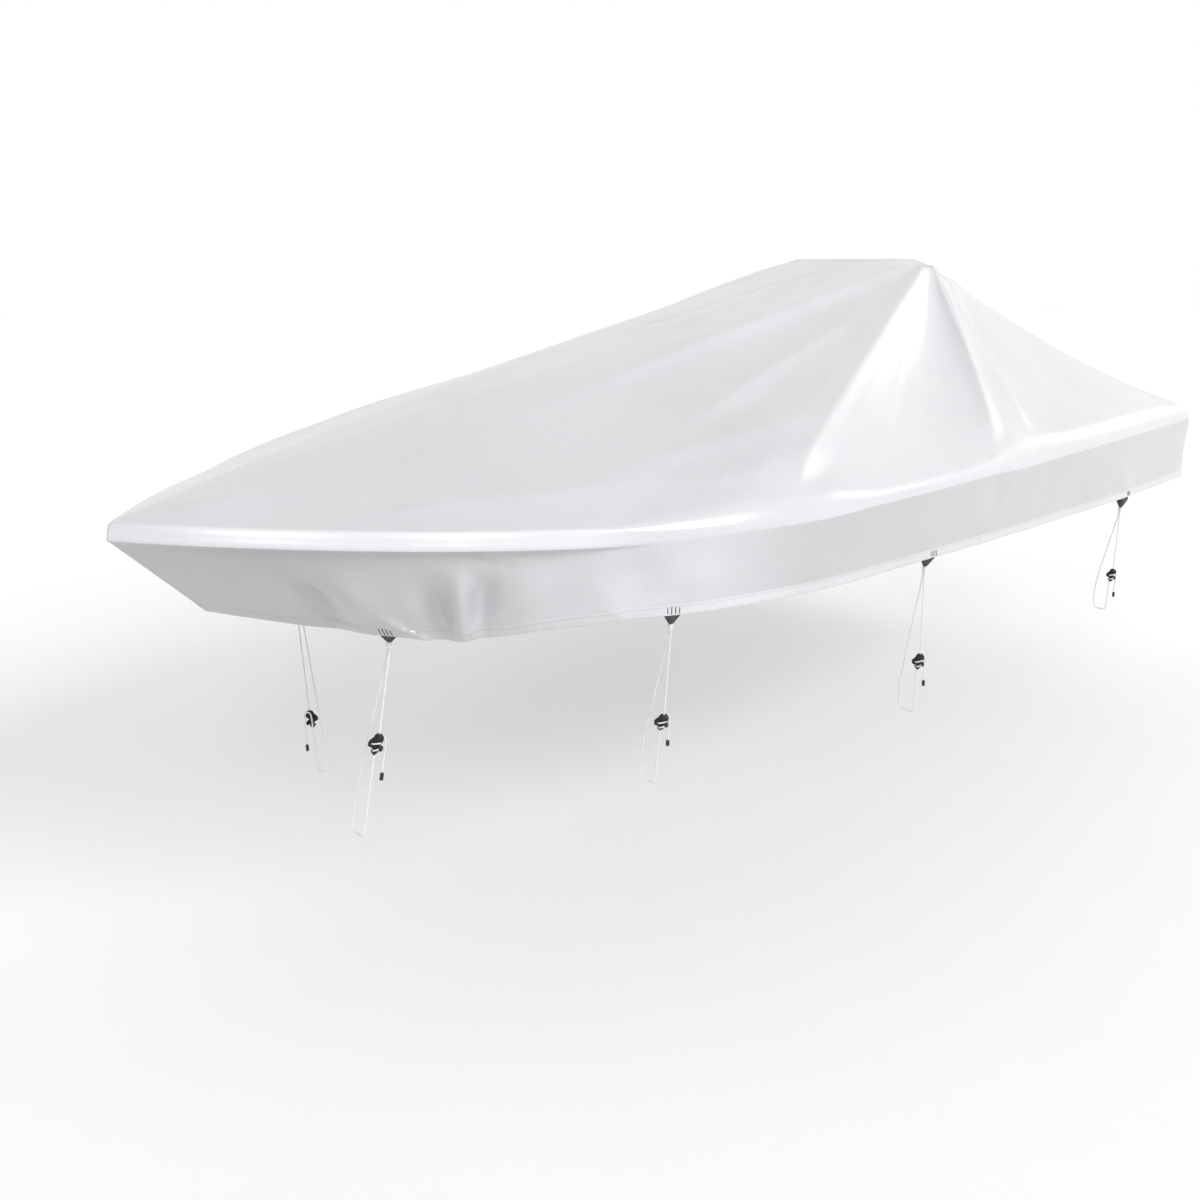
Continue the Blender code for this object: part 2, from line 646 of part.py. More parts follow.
def loop_route(at):
    """The long run: from the knot down inside, round the foot, up behind the cleat and down."""
    up, inward, tail_side = at["up"], at["inward"], at["tail_side"]
    start = at["knot_foot"] - up * SEAT + inward * (RUN_APART / 2)
    foot = at["foot"]
    inner = foot + inward * LOOP_WIDTH
    bend = LOOP_BEND
    cleat = at["cleat_foot"]
    behind = cleat + up * (CLEAT_HEIGHT * 0.5)
    turn = cleat + up * (CLEAT_HEIGHT * 0.72)
    tail = cleat - up * TAIL_LENGTH + tail_side * (TURN_WIDTH * 1.1)
    return [
        start,
        start - up * LEAD,
        start.lerp(inner + up * 0.1, 0.5),
        inner + up * 0.1,
        inner + up * (bend * 1.6),
        inner + up * (bend * 0.3) - inward * (bend * 0.3),
        inner - inward * (bend * 1.6),
        foot + inward * (bend * 1.6),
        foot + up * (bend * 0.3) + inward * (bend * 0.3),
        foot + up * (bend * 1.6),
        foot.lerp(cleat, 0.5),
        cleat,
        behind,
        turn + tail_side * (TURN_WIDTH * 0.12) + up * (TURN_WIDTH * 0.28),
        turn + tail_side * (TURN_WIDTH * 0.5) + up * (TURN_WIDTH * 0.48),
        turn + tail_side * (TURN_WIDTH * 0.88) + up * (TURN_WIDTH * 0.28),
        behind + tail_side * TURN_WIDTH,
        cleat + tail_side * (TURN_WIDTH * 1.05),
        tail,
    ]


def build_tie(tie, materials):
    """One tie's tab, knot, two runs of rope, cleat and end cap."""
    name = tie[0]
    at = tie_places(tie)
    origin, along, down, out = at["tab"]
    shown, tip = tie[3], TAB_TIP / 2
    top = min(tip + (shown + TAB_TUCK) * TAB_FLARE / 2, TAB_WIDTH / 2)
    shoulder = shown - (top - tip) * 2 / TAB_FLARE
    outline = [(-top, -TAB_TUCK), (top, -TAB_TUCK), (tip, shown), (-tip, shown)]
    if shoulder > -TAB_TUCK + 0.001:
        outline = outline[:2] + [(top, shoulder)] + outline[2:] + [(-top, shoulder)]
    plate = prism(outline, origin, along, down, out, TAB_THICKNESS)
    new_object(f"tab_{name}", plate, materials["webbing"])

    new_object(f"knot_{name}", turned(at["knot_rings"], 8), materials["rope"])

    route = loop_route(at)
    cord(f"rope_loop_{name}", smooth_route(route), materials["rope"])
    cap_axis = (route[-1] - route[-2]).normalized()
    cap_rings = ring_row(CAP_PROFILE, route[-1] + cap_axis * SEAT, cap_axis)
    new_object(f"end_cap_{name}", turned(cap_rings, 10), materials["moulded_plastic"])

    up, inward, tail_side = at["up"], at["inward"], at["tail_side"]
    front = tail_side.cross(up)
    face = at["cleat_foot"] + front * (CORD_DIAMETER / 2 + SEAT + CLEAT_THICKNESS)
    cleat = prism(cleat_outline(), face, tail_side, up, front, CLEAT_THICKNESS)
    new_object(f"cleat_{name}", cleat, materials["moulded_plastic"])

    head = face - front * (CLEAT_THICKNESS / 2) + tail_side * CLEAT_HEAD
    head += up * (CLEAT_HEIGHT + SEAT)
    start = at["knot_foot"] - up * SEAT - inward * (RUN_APART / 2)
    first, last = start - up * LEAD, head + up * LEAD
    short_run = [start, first, first.lerp(last, 0.5), last, head]
    cord(f"rope_short_{name}", smooth_route(short_run), materials["rope"])


def main():
    for obj in list(bpy.data.objects):
        bpy.data.objects.remove(obj, do_unlink=True)
    materials = {name: make_material(name) for name in MATERIALS}
    build_cover(materials["cover_cloth"])
    for tie in TIES:
        build_tie(tie, materials)


main()
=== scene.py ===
"""The fitted boat cover dressed for a picture: its cloth with hem and creases, its tabs and ties,
a pale floor, soft light and the camera.

The shape functions and tables are the part's own, so every piece lies where its solid does.
Metres. +X is port, +Y is aft and +Z is up. Lengths along the cover are counted aft from the bow
tip and heights from the bow tip; place() moves them to the frame's origin.
"""

import json
import math

import bmesh
import bpy
import numpy as np
from mathutils import Matrix, Vector, noise

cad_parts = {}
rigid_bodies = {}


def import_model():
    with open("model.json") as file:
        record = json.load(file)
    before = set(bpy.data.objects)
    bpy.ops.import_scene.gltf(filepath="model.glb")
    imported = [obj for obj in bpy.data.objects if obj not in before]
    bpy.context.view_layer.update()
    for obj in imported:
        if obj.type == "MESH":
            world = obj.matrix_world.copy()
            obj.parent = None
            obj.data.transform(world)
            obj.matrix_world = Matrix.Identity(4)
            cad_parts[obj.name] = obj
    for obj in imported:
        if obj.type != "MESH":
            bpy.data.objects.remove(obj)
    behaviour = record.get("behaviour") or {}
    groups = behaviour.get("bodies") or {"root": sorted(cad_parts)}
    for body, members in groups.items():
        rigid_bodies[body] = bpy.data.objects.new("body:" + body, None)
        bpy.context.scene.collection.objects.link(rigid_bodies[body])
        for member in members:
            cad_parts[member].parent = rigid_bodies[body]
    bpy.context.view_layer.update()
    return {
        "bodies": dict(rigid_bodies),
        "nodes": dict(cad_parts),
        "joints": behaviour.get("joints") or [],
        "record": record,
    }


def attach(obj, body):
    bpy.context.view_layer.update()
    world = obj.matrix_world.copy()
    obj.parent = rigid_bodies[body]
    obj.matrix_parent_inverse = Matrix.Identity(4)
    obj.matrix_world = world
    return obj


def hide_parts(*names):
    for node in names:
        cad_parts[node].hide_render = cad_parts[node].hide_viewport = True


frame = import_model()

# Plan of the rim
LENGTH = 4.59
HALF_BEAM = 0.977
BEAM_AFT = 1.78  # where the rim is widest
BOW_FULLNESS = 2.43
STERN_HALF = 0.815
STERN_CORNER = 0.06

# Height of the rim: it falls from the bow tip
SHEER_DROP = 0.048
SHEER_AFT = 2.42
STERN_DROP = 0.037

# The flat peak, and points across it from which the cloth is drawn to the rim
PEAK_AFT = 3.06
PEAK_HALF = 0.345
PEAK_HALF_DEPTH = 0.03
PEAK_HEIGHT = 0.612
PEAK_STEPS = np.linspace(-PEAK_HALF, PEAK_HALF, 47)
PEAK_DROP = 0.026  # how much lower its ends lie than its middle
PEAK_DROP_FROM = 0.24

# The sheet
THICKNESS = 0.002
HEM_HEIGHT = 0.028
HEM_PROUD = 0.0015
HEM_FLARE = 0.004  # how far the hem's edge stands out aft
BOW_RAKE = 0.236  # how far aft of the tip the stem's foot lies
RAKE_END = 1.1
STERN_LEAN = 0.035  # how much further forward the stern's hem lies
RIM_LIFT = 0.6  # share of the roll's radius by which the cloth stands above the rim
RIM_STEP = 0.012  # height in which the skirt tucks in under the rim band
RIM_TUCK = 0.3  # share of the skirt's inward lean taken in that step
TUCK_ENDS = (0.72, 0.98)  # aft of this the skirt runs smoothly out of the roll
BAND_PULL = 0.005  # how far the bow band's upper edge is drawn in
BAND_PROUD = 0.008  # and how far its lower edge stands out
STEM_SLANT = 0.4  # share of both right at the stem
STEM_SLANT_END = 0.15  # how far aft they have grown to the whole
FOLD_GAIN = 1.3  # all the skirt's folds are this much deeper than in their table

# Rows of the skirt: 0 where the roll ends, then the ends of the band, tuck and plain cloth
BAND_ROW = 0.1
TUCK_ROW = 0.2
HEM_ROW = 0.88
HEM_UPPER_ROW = 0.9  # on the hem, where it is fully proud

# Shape of the drawn cloth between peak and rim, in degrees round a corner of the peak from the bow
SIDE_HOLLOW = 0.036
SIDE_RIDGES = {+1: (18.5, 47.0), -1: (22.0, 51.0)}
FORE_HOLLOW = 0.02
FORE_RIDGES = (-4.0, 18.5)
AFT_SAG = 0.155
AFT_SAG_FROM = (50.0, 95.0)
FORE_CROWN = 0.022
CROWN_ENDS = (5.0, 30.0)
CROWN_SCALE = 27 / 4  # makes the crown's curve 1 at its top

# Ties
CORD_DIAMETER = 0.0045
SEAT = 0.0003  # gap between pieces that touch
TAB_WIDTH = 0.052
TAB_FLARE = 1.3  # how much wider a tab grows for each metre up from its tip
TAB_TIP = 0.009
TAB_TUCK = 0.016  # how far a tab reaches up behind the hem
TAB_THICKNESS = 0.0028
TAB_REACH = 0.046  # the hem is flat this far to each side of a tab's middle
ABOVE_SHARE = 0.83  # how much of the hem's height lies below HEM_UPPER_ROW
KNOT_PROFILE = ((0.0, 0.0044), (0.0045, 0.0078), (0.011, 0.0074), (0.018, 0.0055))
RUN_APART = 0.0056  # between the two runs where they leave the knot
LEAD = 0.012  # how far a run leaves a fitting straight before it turns
LOOP_WIDTH = 0.05
LOOP_BEND = 0.012
TURN_WIDTH = 0.022  # of the bight behind a cleat
CLEAT_HEIGHT = 0.052
CLEAT_HEAD = 0.006  # how far to the tail's side of the cleat's foot its head lies
CLEAT_THICKNESS = 0.007
TAIL_LENGTH = 0.045  # below a cleat's foot

# aft of the tip, the roll's radius, the flat band under it
RIM_EDGE = (
    (0.0, 0.012, 0.028),
    (0.85, 0.012, 0.028),
    (1.15, 0.044, 0.006),
    (1.45, 0.04, 0.004),
    (1.68, 0.02, 0.004),
    (2.35, 0.02, 0.004),
    (2.55, 0.04, 0.004),
    (4.3, 0.045, 0.004),
    (4.59, 0.035, 0.004),
)

# aft, the skirt's depth below the rim, how far its hem lies inside the rim
SKIRT = (
    (0.0, 0.245, 0.0),
    (0.25, 0.272, 0.075),
    (0.5, 0.281, 0.075),
    (0.7, 0.25, 0.073),
    (0.9, 0.23, 0.068),
    (1.3, 0.222, 0.058),
    (2.0, 0.224, 0.045),
    (2.7, 0.244, 0.034),
    (3.6, 0.267, 0.028),
    (4.59, 0.285, 0.027),
)

# side, aft at the rim, half width, how far it stands out, where it starts and ends down the
# skirt (0 rim, 1 hem), how far aft it drifts from rim to hem
SKIRT_FOLDS = (
    (+1, 0.13, 0.06, +0.007, 0.1, 0.9, 0.03),
    (+1, 0.215, 0.05, -0.017, 0.15, 1.0, 0.06),
    (+1, 0.315, 0.065, +0.017, 0.1, 1.1, 0.03),
    (+1, 0.47, 0.055, -0.021, 0.1, 1.15, 0.03),
    (+1, 0.545, 0.038, +0.025, 0.1, 1.15, -0.035),
    (+1, 0.61, 0.035, -0.019, 0.1, 1.0, -0.07),
    (+1, 0.71, 0.055, +0.012, 0.15, 0.9, -0.08),
    (+1, 0.92, 0.06, -0.01, 0.0, 0.85, 0.02),
    (+1, 1.08, 0.07, +0.007, 0.15, 1.05, 0.0),
    (+1, 1.52, 0.1, -0.004, 0.1, 0.9, 0.1),
    (+1, 1.98, 0.08, +0.004, 0.3, 1.1, 0.05),
    (+1, 2.44, 0.06, -0.006, -0.1, 0.7, -0.08),
    (+1, 3.6, 0.08, +0.005, 0.3, 1.1, 0.05),
    (-1, 0.2, 0.08, -0.006, 0.15, 0.95, 0.04),
    (-1, 0.4, 0.08, +0.009, 0.1, 1.0, 0.02),
    (-1, 0.6, 0.05, -0.011, 0.3, 1.1, -0.02),
    (-1, 0.82, 0.06, +0.008, 0.1, 1.0, 0.0),
    (-1, 1.06, 0.06, -0.008, 0.1, 1.05, 0.01),
    (-1, 1.45, 0.1, -0.004, 0.1, 0.9, 0.08),
    (-1, 2.02, 0.08, +0.006, 0.3, 1.1, 0.03),
    (-1, 2.48, 0.06, -0.006, -0.1, 0.7, -0.06),
    (-1, 3.66, 0.08, +0.005, 0.3, 1.1, 0.0),
    (+1, 4.95, 0.09, -0.006, 0.1, 0.95, 0.03),
    (-1, 5.05, 0.1, -0.006, 0.1, 0.95, -0.03),
)

# start x, start aft, end x, end aft, height (below zero for a dip), half width
DECK_FOLDS = (
    (-0.33, 3.12, -1.0, 1.3, 0.011, 0.042),
    (-0.33, 3.1, -1.02, 2.48, 0.009, 0.03),
    (0.34, 2.85, 0.22, 1.05, 0.011, 0.075),
    (0.1, 2.8, 0.0, 1.5, 0.008, 0.08),
    (0.55, 2.1, 0.55, 1.05, 0.008, 0.07),
    (0.76, 1.62, 0.62, 0.9, 0.009, 0.06),
    (-0.34, 2.6, -0.24, 1.15, -0.012, 0.09),
    (-0.5, 0.42, -0.34, 1.25, 0.02, 0.12),
    (-0.62, 2.0, -0.56, 1.05, 0.009, 0.075),
    (0.48, 3.14, 0.78, 3.3, 0.009, 0.05),
    (-0.46, 3.16, -0.76, 3.38, 0.009, 0.05),
    (0.1, 3.2, 0.22, 4.3, 0.01, 0.08),
    (0.5, 3.6, 0.74, 4.36, -0.013, 0.07),
)

# name, side, aft at the rim, how much of its tab shows and how far it is turned towards the bow
# in degrees; then the foot of its loop: x, aft, height; then the cleat's place from the foot (0)
# to the knot (1)
TIES = (
    ("port_1", +1, 0.357, 0.027, 0, 0.283, 0.489, -0.800, 0.45),
    ("port_2", +1, 1.020, 0.029, 0, 0.590, 1.205, -0.800, 0.39),
    ("port_3", +1, 2.050, 0.036, 30, 0.821, 2.150, -0.800, 0.33),
    ("port_4", +1, 3.690, 0.052, 35, 0.800, 3.688, -0.804, 0.30),
    ("starboard_2", -1, 0.800, 0.030, 0, -0.450, 0.820, -0.965, 0.19),
    ("starboard_3", -1, 2.050, 0.034, 20, -0.821, 2.150, -0.800, 0.33),
    ("starboard_4", -1, 3.690, 0.048, 25, -0.800, 3.700, -0.804, 0.32),
)


def column(table, index):
    """One column of a table of rows as an array."""
    return np.array([row[index] for row in table])


def smooth(value, low, high):
    """0 at low, 1 at high, with level ends."""
    share = np.clip((np.asarray(value, float) - low) / (high - low), 0, 1)
    return share * share * (3 - 2 * share)


def half_beam(aft):
    fore = np.clip(aft / BEAM_AFT, 0, 1)
    tail = np.clip((aft - BEAM_AFT) / (LENGTH - BEAM_AFT), 0, 1)
    return HALF_BEAM * (1 - (1 - fore) ** BOW_FULLNESS) - (HALF_BEAM - STERN_HALF) * tail**2


def rim_height(aft):
    fore = np.clip(aft / SHEER_AFT, 0, 1)
    tail = np.clip((aft - SHEER_AFT) / (LENGTH - SHEER_AFT), 0, 1)
    return -SHEER_DROP * (1 - (1 - fore) ** 2) - STERN_DROP * tail**2


def port_rim():
    """The rim's port half in plan, from the bow tip round the stern corner to the middle."""
    side_end = LENGTH - STERN_CORNER
    aft = np.linspace(0, 1, 240) ** 1.5 * side_end
    side = np.c_[half_beam(aft), aft]
    turn = np.radians(np.linspace(0, 90, 9))[1:]
    inner = half_beam(side_end) - STERN_CORNER
    corner = np.c_[inner + STERN_CORNER * np.cos(turn), side_end + STERN_CORNER * np.sin(turn)]
    stern = np.c_[np.linspace(inner, 0, 30)[1:], np.full(29, LENGTH)]
    return np.r_[side, corner, stern]


RIM = port_rim()
RIM_RUN = np.r_[0, np.cumsum(np.hypot(*np.diff(RIM, axis=0).T))]
RIM_HALF = RIM_RUN[-1]
RIM_RING = np.r_[RIM, RIM[-2:0:-1] * [-1, 1]]


def rim_normals():
    along = np.gradient(RIM, RIM_RUN, axis=0)
    along /= np.linalg.norm(along, axis=1)[:, None]
    return np.c_[along[:, 1], -along[:, 0]]


RIM_NORMALS = rim_normals()


def run_at(aft):
    """Distance along the rim to this far aft; past the stern corner it is the distance itself."""
    return float(np.interp(aft, RIM[:, 1], RIM_RUN)) if aft < LENGTH else aft


def rim_point(run):
    """x, aft and the outward normal at a signed distance along the rim, port positive."""
    size = np.abs(run)
    side = np.where(np.asarray(run) < 0, -1.0, 1.0)
    x, aft = (np.interp(size, RIM_RUN, RIM[:, i]) for i in (0, 1))
    out_x, out_aft = (np.interp(size, RIM_RUN, RIM_NORMALS[:, i]) for i in (0, 1))
    return x * side, aft, out_x * side, out_aft


def skirt_sizes(aft):
    """The roll's radius, the band under it, the skirt's depth and how far its hem lies inside."""
    radius, band = (np.interp(aft, column(RIM_EDGE, 0), column(RIM_EDGE, i)) for i in (1, 2))
    depth, inside = (np.interp(aft, column(SKIRT, 0), column(SKIRT, i)) for i in (1, 2))
    return radius, band, depth + RIM_LIFT * radius, inside


def rim_top(aft):
    """The height at which the drawn cloth would meet the rim if it didn't roll over it."""
    return rim_height(aft) + RIM_LIFT * skirt_sizes(aft)[0]


def skirt_fold(run, down):
    """How far the skirt's folds stand out at a distance along the rim and a share of its depth."""
    total = np.zeros(np.broadcast(run, down).shape)
    for side, aft, half_width, out, start, end, drift in SKIRT_FOLDS:
        centre = side * (run_at(aft) + drift * down)
        across = np.exp(-(((run - centre) / half_width) ** 2))
        middle = (start + end) / 2
        window = smooth(down, start, middle) * (1 - smooth(down, middle, end + 0.25))
        total = total + out * across * window * FOLD_GAIN
    return total


def skirt_point(run, row, dressed=False, relief=0.0):
    """A point of the skirt's outer face: row is 0 where the roll ends and 1 at the hem's edge.

    Dressed, the band at the bow slants, the hem flares and the skirt has its finer relief.
    """
    x, aft, out_x, out_aft = rim_point(run)
    radius, band, depth, inside = skirt_sizes(aft)
    first = radius * (1 - np.sin(roll_start(aft))) if dressed else radius
    tops = (first, radius + band, radius + band + RIM_STEP, depth - HEM_HEIGHT, depth)
    rows = (0.0, BAND_ROW, TUCK_ROW, HEM_ROW, 1.0)
    drop = np.zeros(np.broadcast(run, row).shape)
    for low, high, first, last in zip(rows, rows[1:], tops, tops[1:]):
        share = np.clip((row - low) / (high - low), 0, 1)
        drop = np.where(row >= low, first + (last - first) * share, drop)
    below = np.clip((drop - radius - band) / (depth - radius - band), 0, 1)
    tucked = smooth(drop, radius + band, radius + band + RIM_STEP)
    inside = inside + STERN_LEAN * np.clip(out_aft, 0, 1) ** 2 * (aft > BEAM_AFT)
    tuck = RIM_TUCK * (1 - smooth(aft, *TUCK_ENDS))
    lean = inside * (tuck * tucked + (1 - tuck) * below)
    lean = lean - HEM_PROUD * smooth(row, HEM_ROW, HEM_UPPER_ROW)
    if dressed:
        share = np.clip(row / BAND_ROW, 0, 1)
        slanted = BAND_PULL * (1 - share) - BAND_PROUD * share * (1 - tucked)
        lean = lean + band_slant(aft) * slanted
        lean = lean - HEM_FLARE * smooth(row, HEM_UPPER_ROW, 1.0) * smooth(aft, 0.7, 1.1)
        lean = lean - (dressed_fold(run, below) + relief) * smooth(row, 0, BAND_ROW)
    else:
        lean = lean - skirt_fold(run, below)
    rake = BOW_RAKE * np.clip(1 - aft / RAKE_END, 0, 1) ** 2 * below
    side = np.sign(x)
    x = x - out_x * lean
    x = np.where(x * side < 0, 0, x) * (np.abs(run) < RIM_HALF)
    return x, aft - out_aft * lean + rake, rim_top(aft) - drop


def band_slant(aft):
    """Share of the bow band's slant: some at the stem, then all of it, and none aft."""
    grown = STEM_SLANT + (1 - STEM_SLANT) * smooth(aft, 0.0, STEM_SLANT_END)
    return grown * (1 - smooth(aft, *TUCK_ENDS))


def roll_start(aft):
    """The angle up the rim's roll at which the slanted band ends."""
    return np.arccos(1 - BAND_PULL * band_slant(aft) / skirt_sizes(aft)[0])


def dressed_fold(run, down):
    """The skirt's folds, drawn straight behind each tab, where the hem is flat."""
    total = skirt_fold(run, down)
    weight = smooth(down, 0.5, 0.8)
    for tie in TIES:
        tab = tie[1] * run_at(tie[2])
        ends = (np.full_like(run, tab + reach) for reach in (-TAB_REACH, TAB_REACH))
        first, last = (skirt_fold(end, down) for end in ends)
        share = (run - tab + TAB_REACH) / (2 * TAB_REACH)
        straight = first + (last - first) * share
        near = np.abs(run - tab) < TAB_REACH
        total = np.where(near, total * (1 - weight) + straight * weight, total)
    return total


def peak_height(x):
    return PEAK_HEIGHT - PEAK_DROP * smooth(np.abs(x), PEAK_DROP_FROM, PEAK_HALF)


def peak_tables():
    """From points round the flat peak: the rim's bearing, distance and height."""
    tables = []
    for aft in (PEAK_AFT - PEAK_HALF_DEPTH, PEAK_AFT + PEAK_HALF_DEPTH):
        for x in PEAK_STEPS:
            away = RIM_RING - [x, aft]
            bearing = np.arctan2(away[:, 0], -away[:, 1])
            order = np.argsort(bearing)
            reach = np.hypot(*away.T)
            tables.append((x, aft, bearing[order], reach[order], rim_top(RIM_RING[order, 1])))
    return tables


PEAK_TABLES = peak_tables()


def drawn_height(x, aft):
    """The cloth drawn tight between peak and rim: its height and its share of the way out."""
    height = np.full(np.shape(x), -np.inf)
    share = np.zeros(np.shape(x))
    for peak_x, peak_aft, bearings, reaches, heights in PEAK_TABLES:
        away_x, away_aft = x - peak_x, aft - peak_aft
        bearing = np.arctan2(away_x, -away_aft)
        reach = np.interp(bearing, bearings, reaches, period=2 * np.pi)
        rim = np.interp(bearing, bearings, heights, period=2 * np.pi)
        out = np.minimum(np.hypot(away_x, away_aft) / reach, 1)
        top = peak_height(peak_x)
        here = top + (rim - top) * out
        higher = here > height
        height = np.where(higher, here, height)
        share = np.where(higher, out, share)
    flat = (np.abs(x) <= PEAK_HALF) & (np.abs(aft - PEAK_AFT) <= PEAK_HALF_DEPTH)
    return np.where(flat, peak_height(x), height), np.where(flat, 0, share)


def beside(line, x, y):
    """Where points in a plane lie beside a line: their share along it, and how far across."""
    start_x, start_y, end_x, end_y = line
    run_x, run_y = end_x - start_x, end_y - start_y
    length = math.hypot(run_x, run_y)
    along = ((x - start_x) * run_x + (y - start_y) * run_y) / length**2
    across = ((x - start_x) * run_y - (y - start_y) * run_x) / length
    return along, across


def rim_distance(x, aft):
    """Distance in plan from each point to the rim."""
    start = RIM_RING
    step = np.roll(RIM_RING, -1, axis=0) - start
    nearest = np.full(np.shape(x), np.inf)
    for (start_x, start_aft), (step_x, step_aft) in zip(start, step):
        along = (x - start_x) * step_x + (aft - start_aft) * step_aft
        along = np.clip(along / (step_x**2 + step_aft**2), 0, 1)
        gap = np.hypot(x - start_x - along * step_x, aft - start_aft - along * step_aft)
        nearest = np.minimum(nearest, gap)
    return nearest


def hollow(bearing, ends, share, depth):
    """A panel's sag between two ridges that run out from a corner of the peak."""
    across = np.clip((bearing - ends[0]) / (ends[1] - ends[0]), 0, 1)
    return -depth * np.sin(np.pi * across) * 4 * share * (1 - share)


def deck_fold(x, aft):
    """The folds that run along the drawn cloth, each on a line in plan."""
    total = np.zeros(np.shape(x))
    for *line, height, half_width in DECK_FOLDS:
        along, across = beside(line, x, aft)
        window = smooth(along, -0.1, 0.35) * (1 - smooth(along, 0.6, 1.15))
        total = total + height * np.exp(-((across / half_width) ** 2)) * window
    return total


def deck_height(x, aft):
    """The height of the drawn cloth's outer face, over a point in plan inside the rim."""
    x, aft = np.asarray(x, float), np.asarray(aft, float)
    height, share = drawn_height(x, aft)
    bearing = np.degrees(np.arctan2(np.abs(x) - PEAK_HALF, PEAK_AFT - aft))
    bearing = np.mod(bearing + 90, 360) - 90
    for side, ridges in SIDE_RIDGES.items():
        this_side = x * side > 0
        height = height + hollow(bearing, ridges, share, SIDE_HOLLOW) * this_side
    height = height + hollow(bearing, FORE_RIDGES, share, FORE_HOLLOW)
    height = height - AFT_SAG * smooth(bearing, *AFT_SAG_FROM) * np.sqrt(share) * (1 - share)
    crown = CROWN_SCALE * share**2 * (1 - share) * (1 - smooth(bearing, *CROWN_ENDS))
    height = height + FORE_CROWN * crown
    edge = rim_distance(x, aft)
    radius = skirt_sizes(aft)[0]
    height = height + deck_fold(x, aft) * smooth(edge, 0, 0.1)
    inward = np.clip(1 - edge / radius, 0, 1)
    return height - radius * (1 - np.sqrt(1 - inward**2))


def place(x, aft, height):
    """Moves a point to the cover's own frame, whose origin is under the middle of the peak."""
    return Vector((float(x), float(aft) - PEAK_AFT, float(height) - PEAK_HEIGHT + THICKNESS))


def hem_frame(run):
    """The flat stretch of hem that a tab lies behind: the middle of its inner face, and unit
    vectors along the hem, square to it down the cloth, and out."""
    reach = (-TAB_REACH, TAB_REACH)
    edge, above = (
        [place(*skirt_point(run + step, row)) for step in reach] for row in (1.0, HEM_UPPER_ROW)
    )
    middle = (edge[0] + edge[1]) / 2
    along = (edge[1] - edge[0]).normalized()
    out = (middle - (above[0] + above[1]) / 2).cross(along).normalized()
    twist = abs((edge[0] - edge[1] - above[0] + above[1]).dot(out))
    lowest = 0.0
    for share in np.linspace(-0.25, 0.25, 7) * TAB_WIDTH / TAB_REACH + 0.5:
        for rise in np.linspace(0, 1, 5) * TAB_TUCK / (HEM_HEIGHT * ABOVE_SHARE):
            point = edge[0].lerp(edge[1], share).lerp(above[0].lerp(above[1], share), rise)
            one_way = min(rise * (1 - share), share * (1 - rise))
            other_way = min(rise * share, (1 - share) * (1 - rise))
            bent = twist * max(one_way, other_way)
            lowest = min(lowest, (point - middle).dot(out) - bent)
    return middle - out * (THICKNESS - lowest), along, along.cross(out), out


def ring_row(profile, origin, axis, last_axis=None):
    """Centre, axis and radius of each ring of a turned body, whose axis can bend on the way."""
    last_axis = last_axis or axis
    rings = []
    centre, before = origin, 0.0
    for along, radius in profile:
        bent = axis.lerp(last_axis, along / profile[-1][0]).normalized()
        centre = centre + bent * (along - before)
        before = along
        rings.append((centre, bent, radius))
    return rings


def cleat_outline():
    """A three-part cleat in metres, foot up: a pointed foot, a slanting bar and a round head."""
    lower = [(0.000, 0.000), (0.0085, 0.0095), (0.0035, 0.0105), (0.0040, 0.0135)]
    bar = [(0.0165, 0.0115), (0.0185, 0.0190), (0.0060, 0.0270), (0.0070, 0.0290)]
    head = []
    for turn in range(-60, 181, 40):
        angle = math.radians(turn)
        head.append((CLEAT_HEAD + 0.0115 * math.cos(angle), 0.0405 + 0.0115 * math.sin(angle)))
    arm = [(-0.0160, 0.0300), (-0.0165, 0.0215), (-0.0035, 0.0170), (-0.0035, 0.0105)]
    return lower + bar + head + arm + [(-0.0085, 0.0095)]


def tie_places(tie):
    """The places along one tie, worked out from its foot and the hem."""
    _, side, aft, shown, turn, foot_x, foot_aft, foot_height, cleat_share = tie
    middle, along, down, out = hem_frame(side * run_at(aft))
    turn = side * math.radians(turn)
    tab = middle - out * (SEAT + TAB_WIDTH / 2 * abs(math.sin(turn)))
    spin = Matrix.Rotation(turn, 3, down)
    along, out = spin @ along, spin @ out
    knot = tab + down * (shown + SEAT) - out * (TAB_THICKNESS / 2)
    foot = place(foot_x, foot_aft, foot_height)
    drop = (foot - knot).normalized()
    outward = Vector((side, 0, 0))
    outward = (outward - drop * outward.dot(drop)).normalized()
    knot_rings = ring_row(KNOT_PROFILE, knot, down, drop)
    knot_foot = knot_rings[-1][0]
    return {
        "tab": (tab, along, down, out),
        "knot_rings": knot_rings,
        "knot_foot": knot_foot,
        "foot": foot,
        "up": -drop,
        "inward": -outward,
        "tail_side": (outward + outward.cross(drop)).normalized(),
        "cleat_foot": foot.lerp(knot_foot, cleat_share),
    }


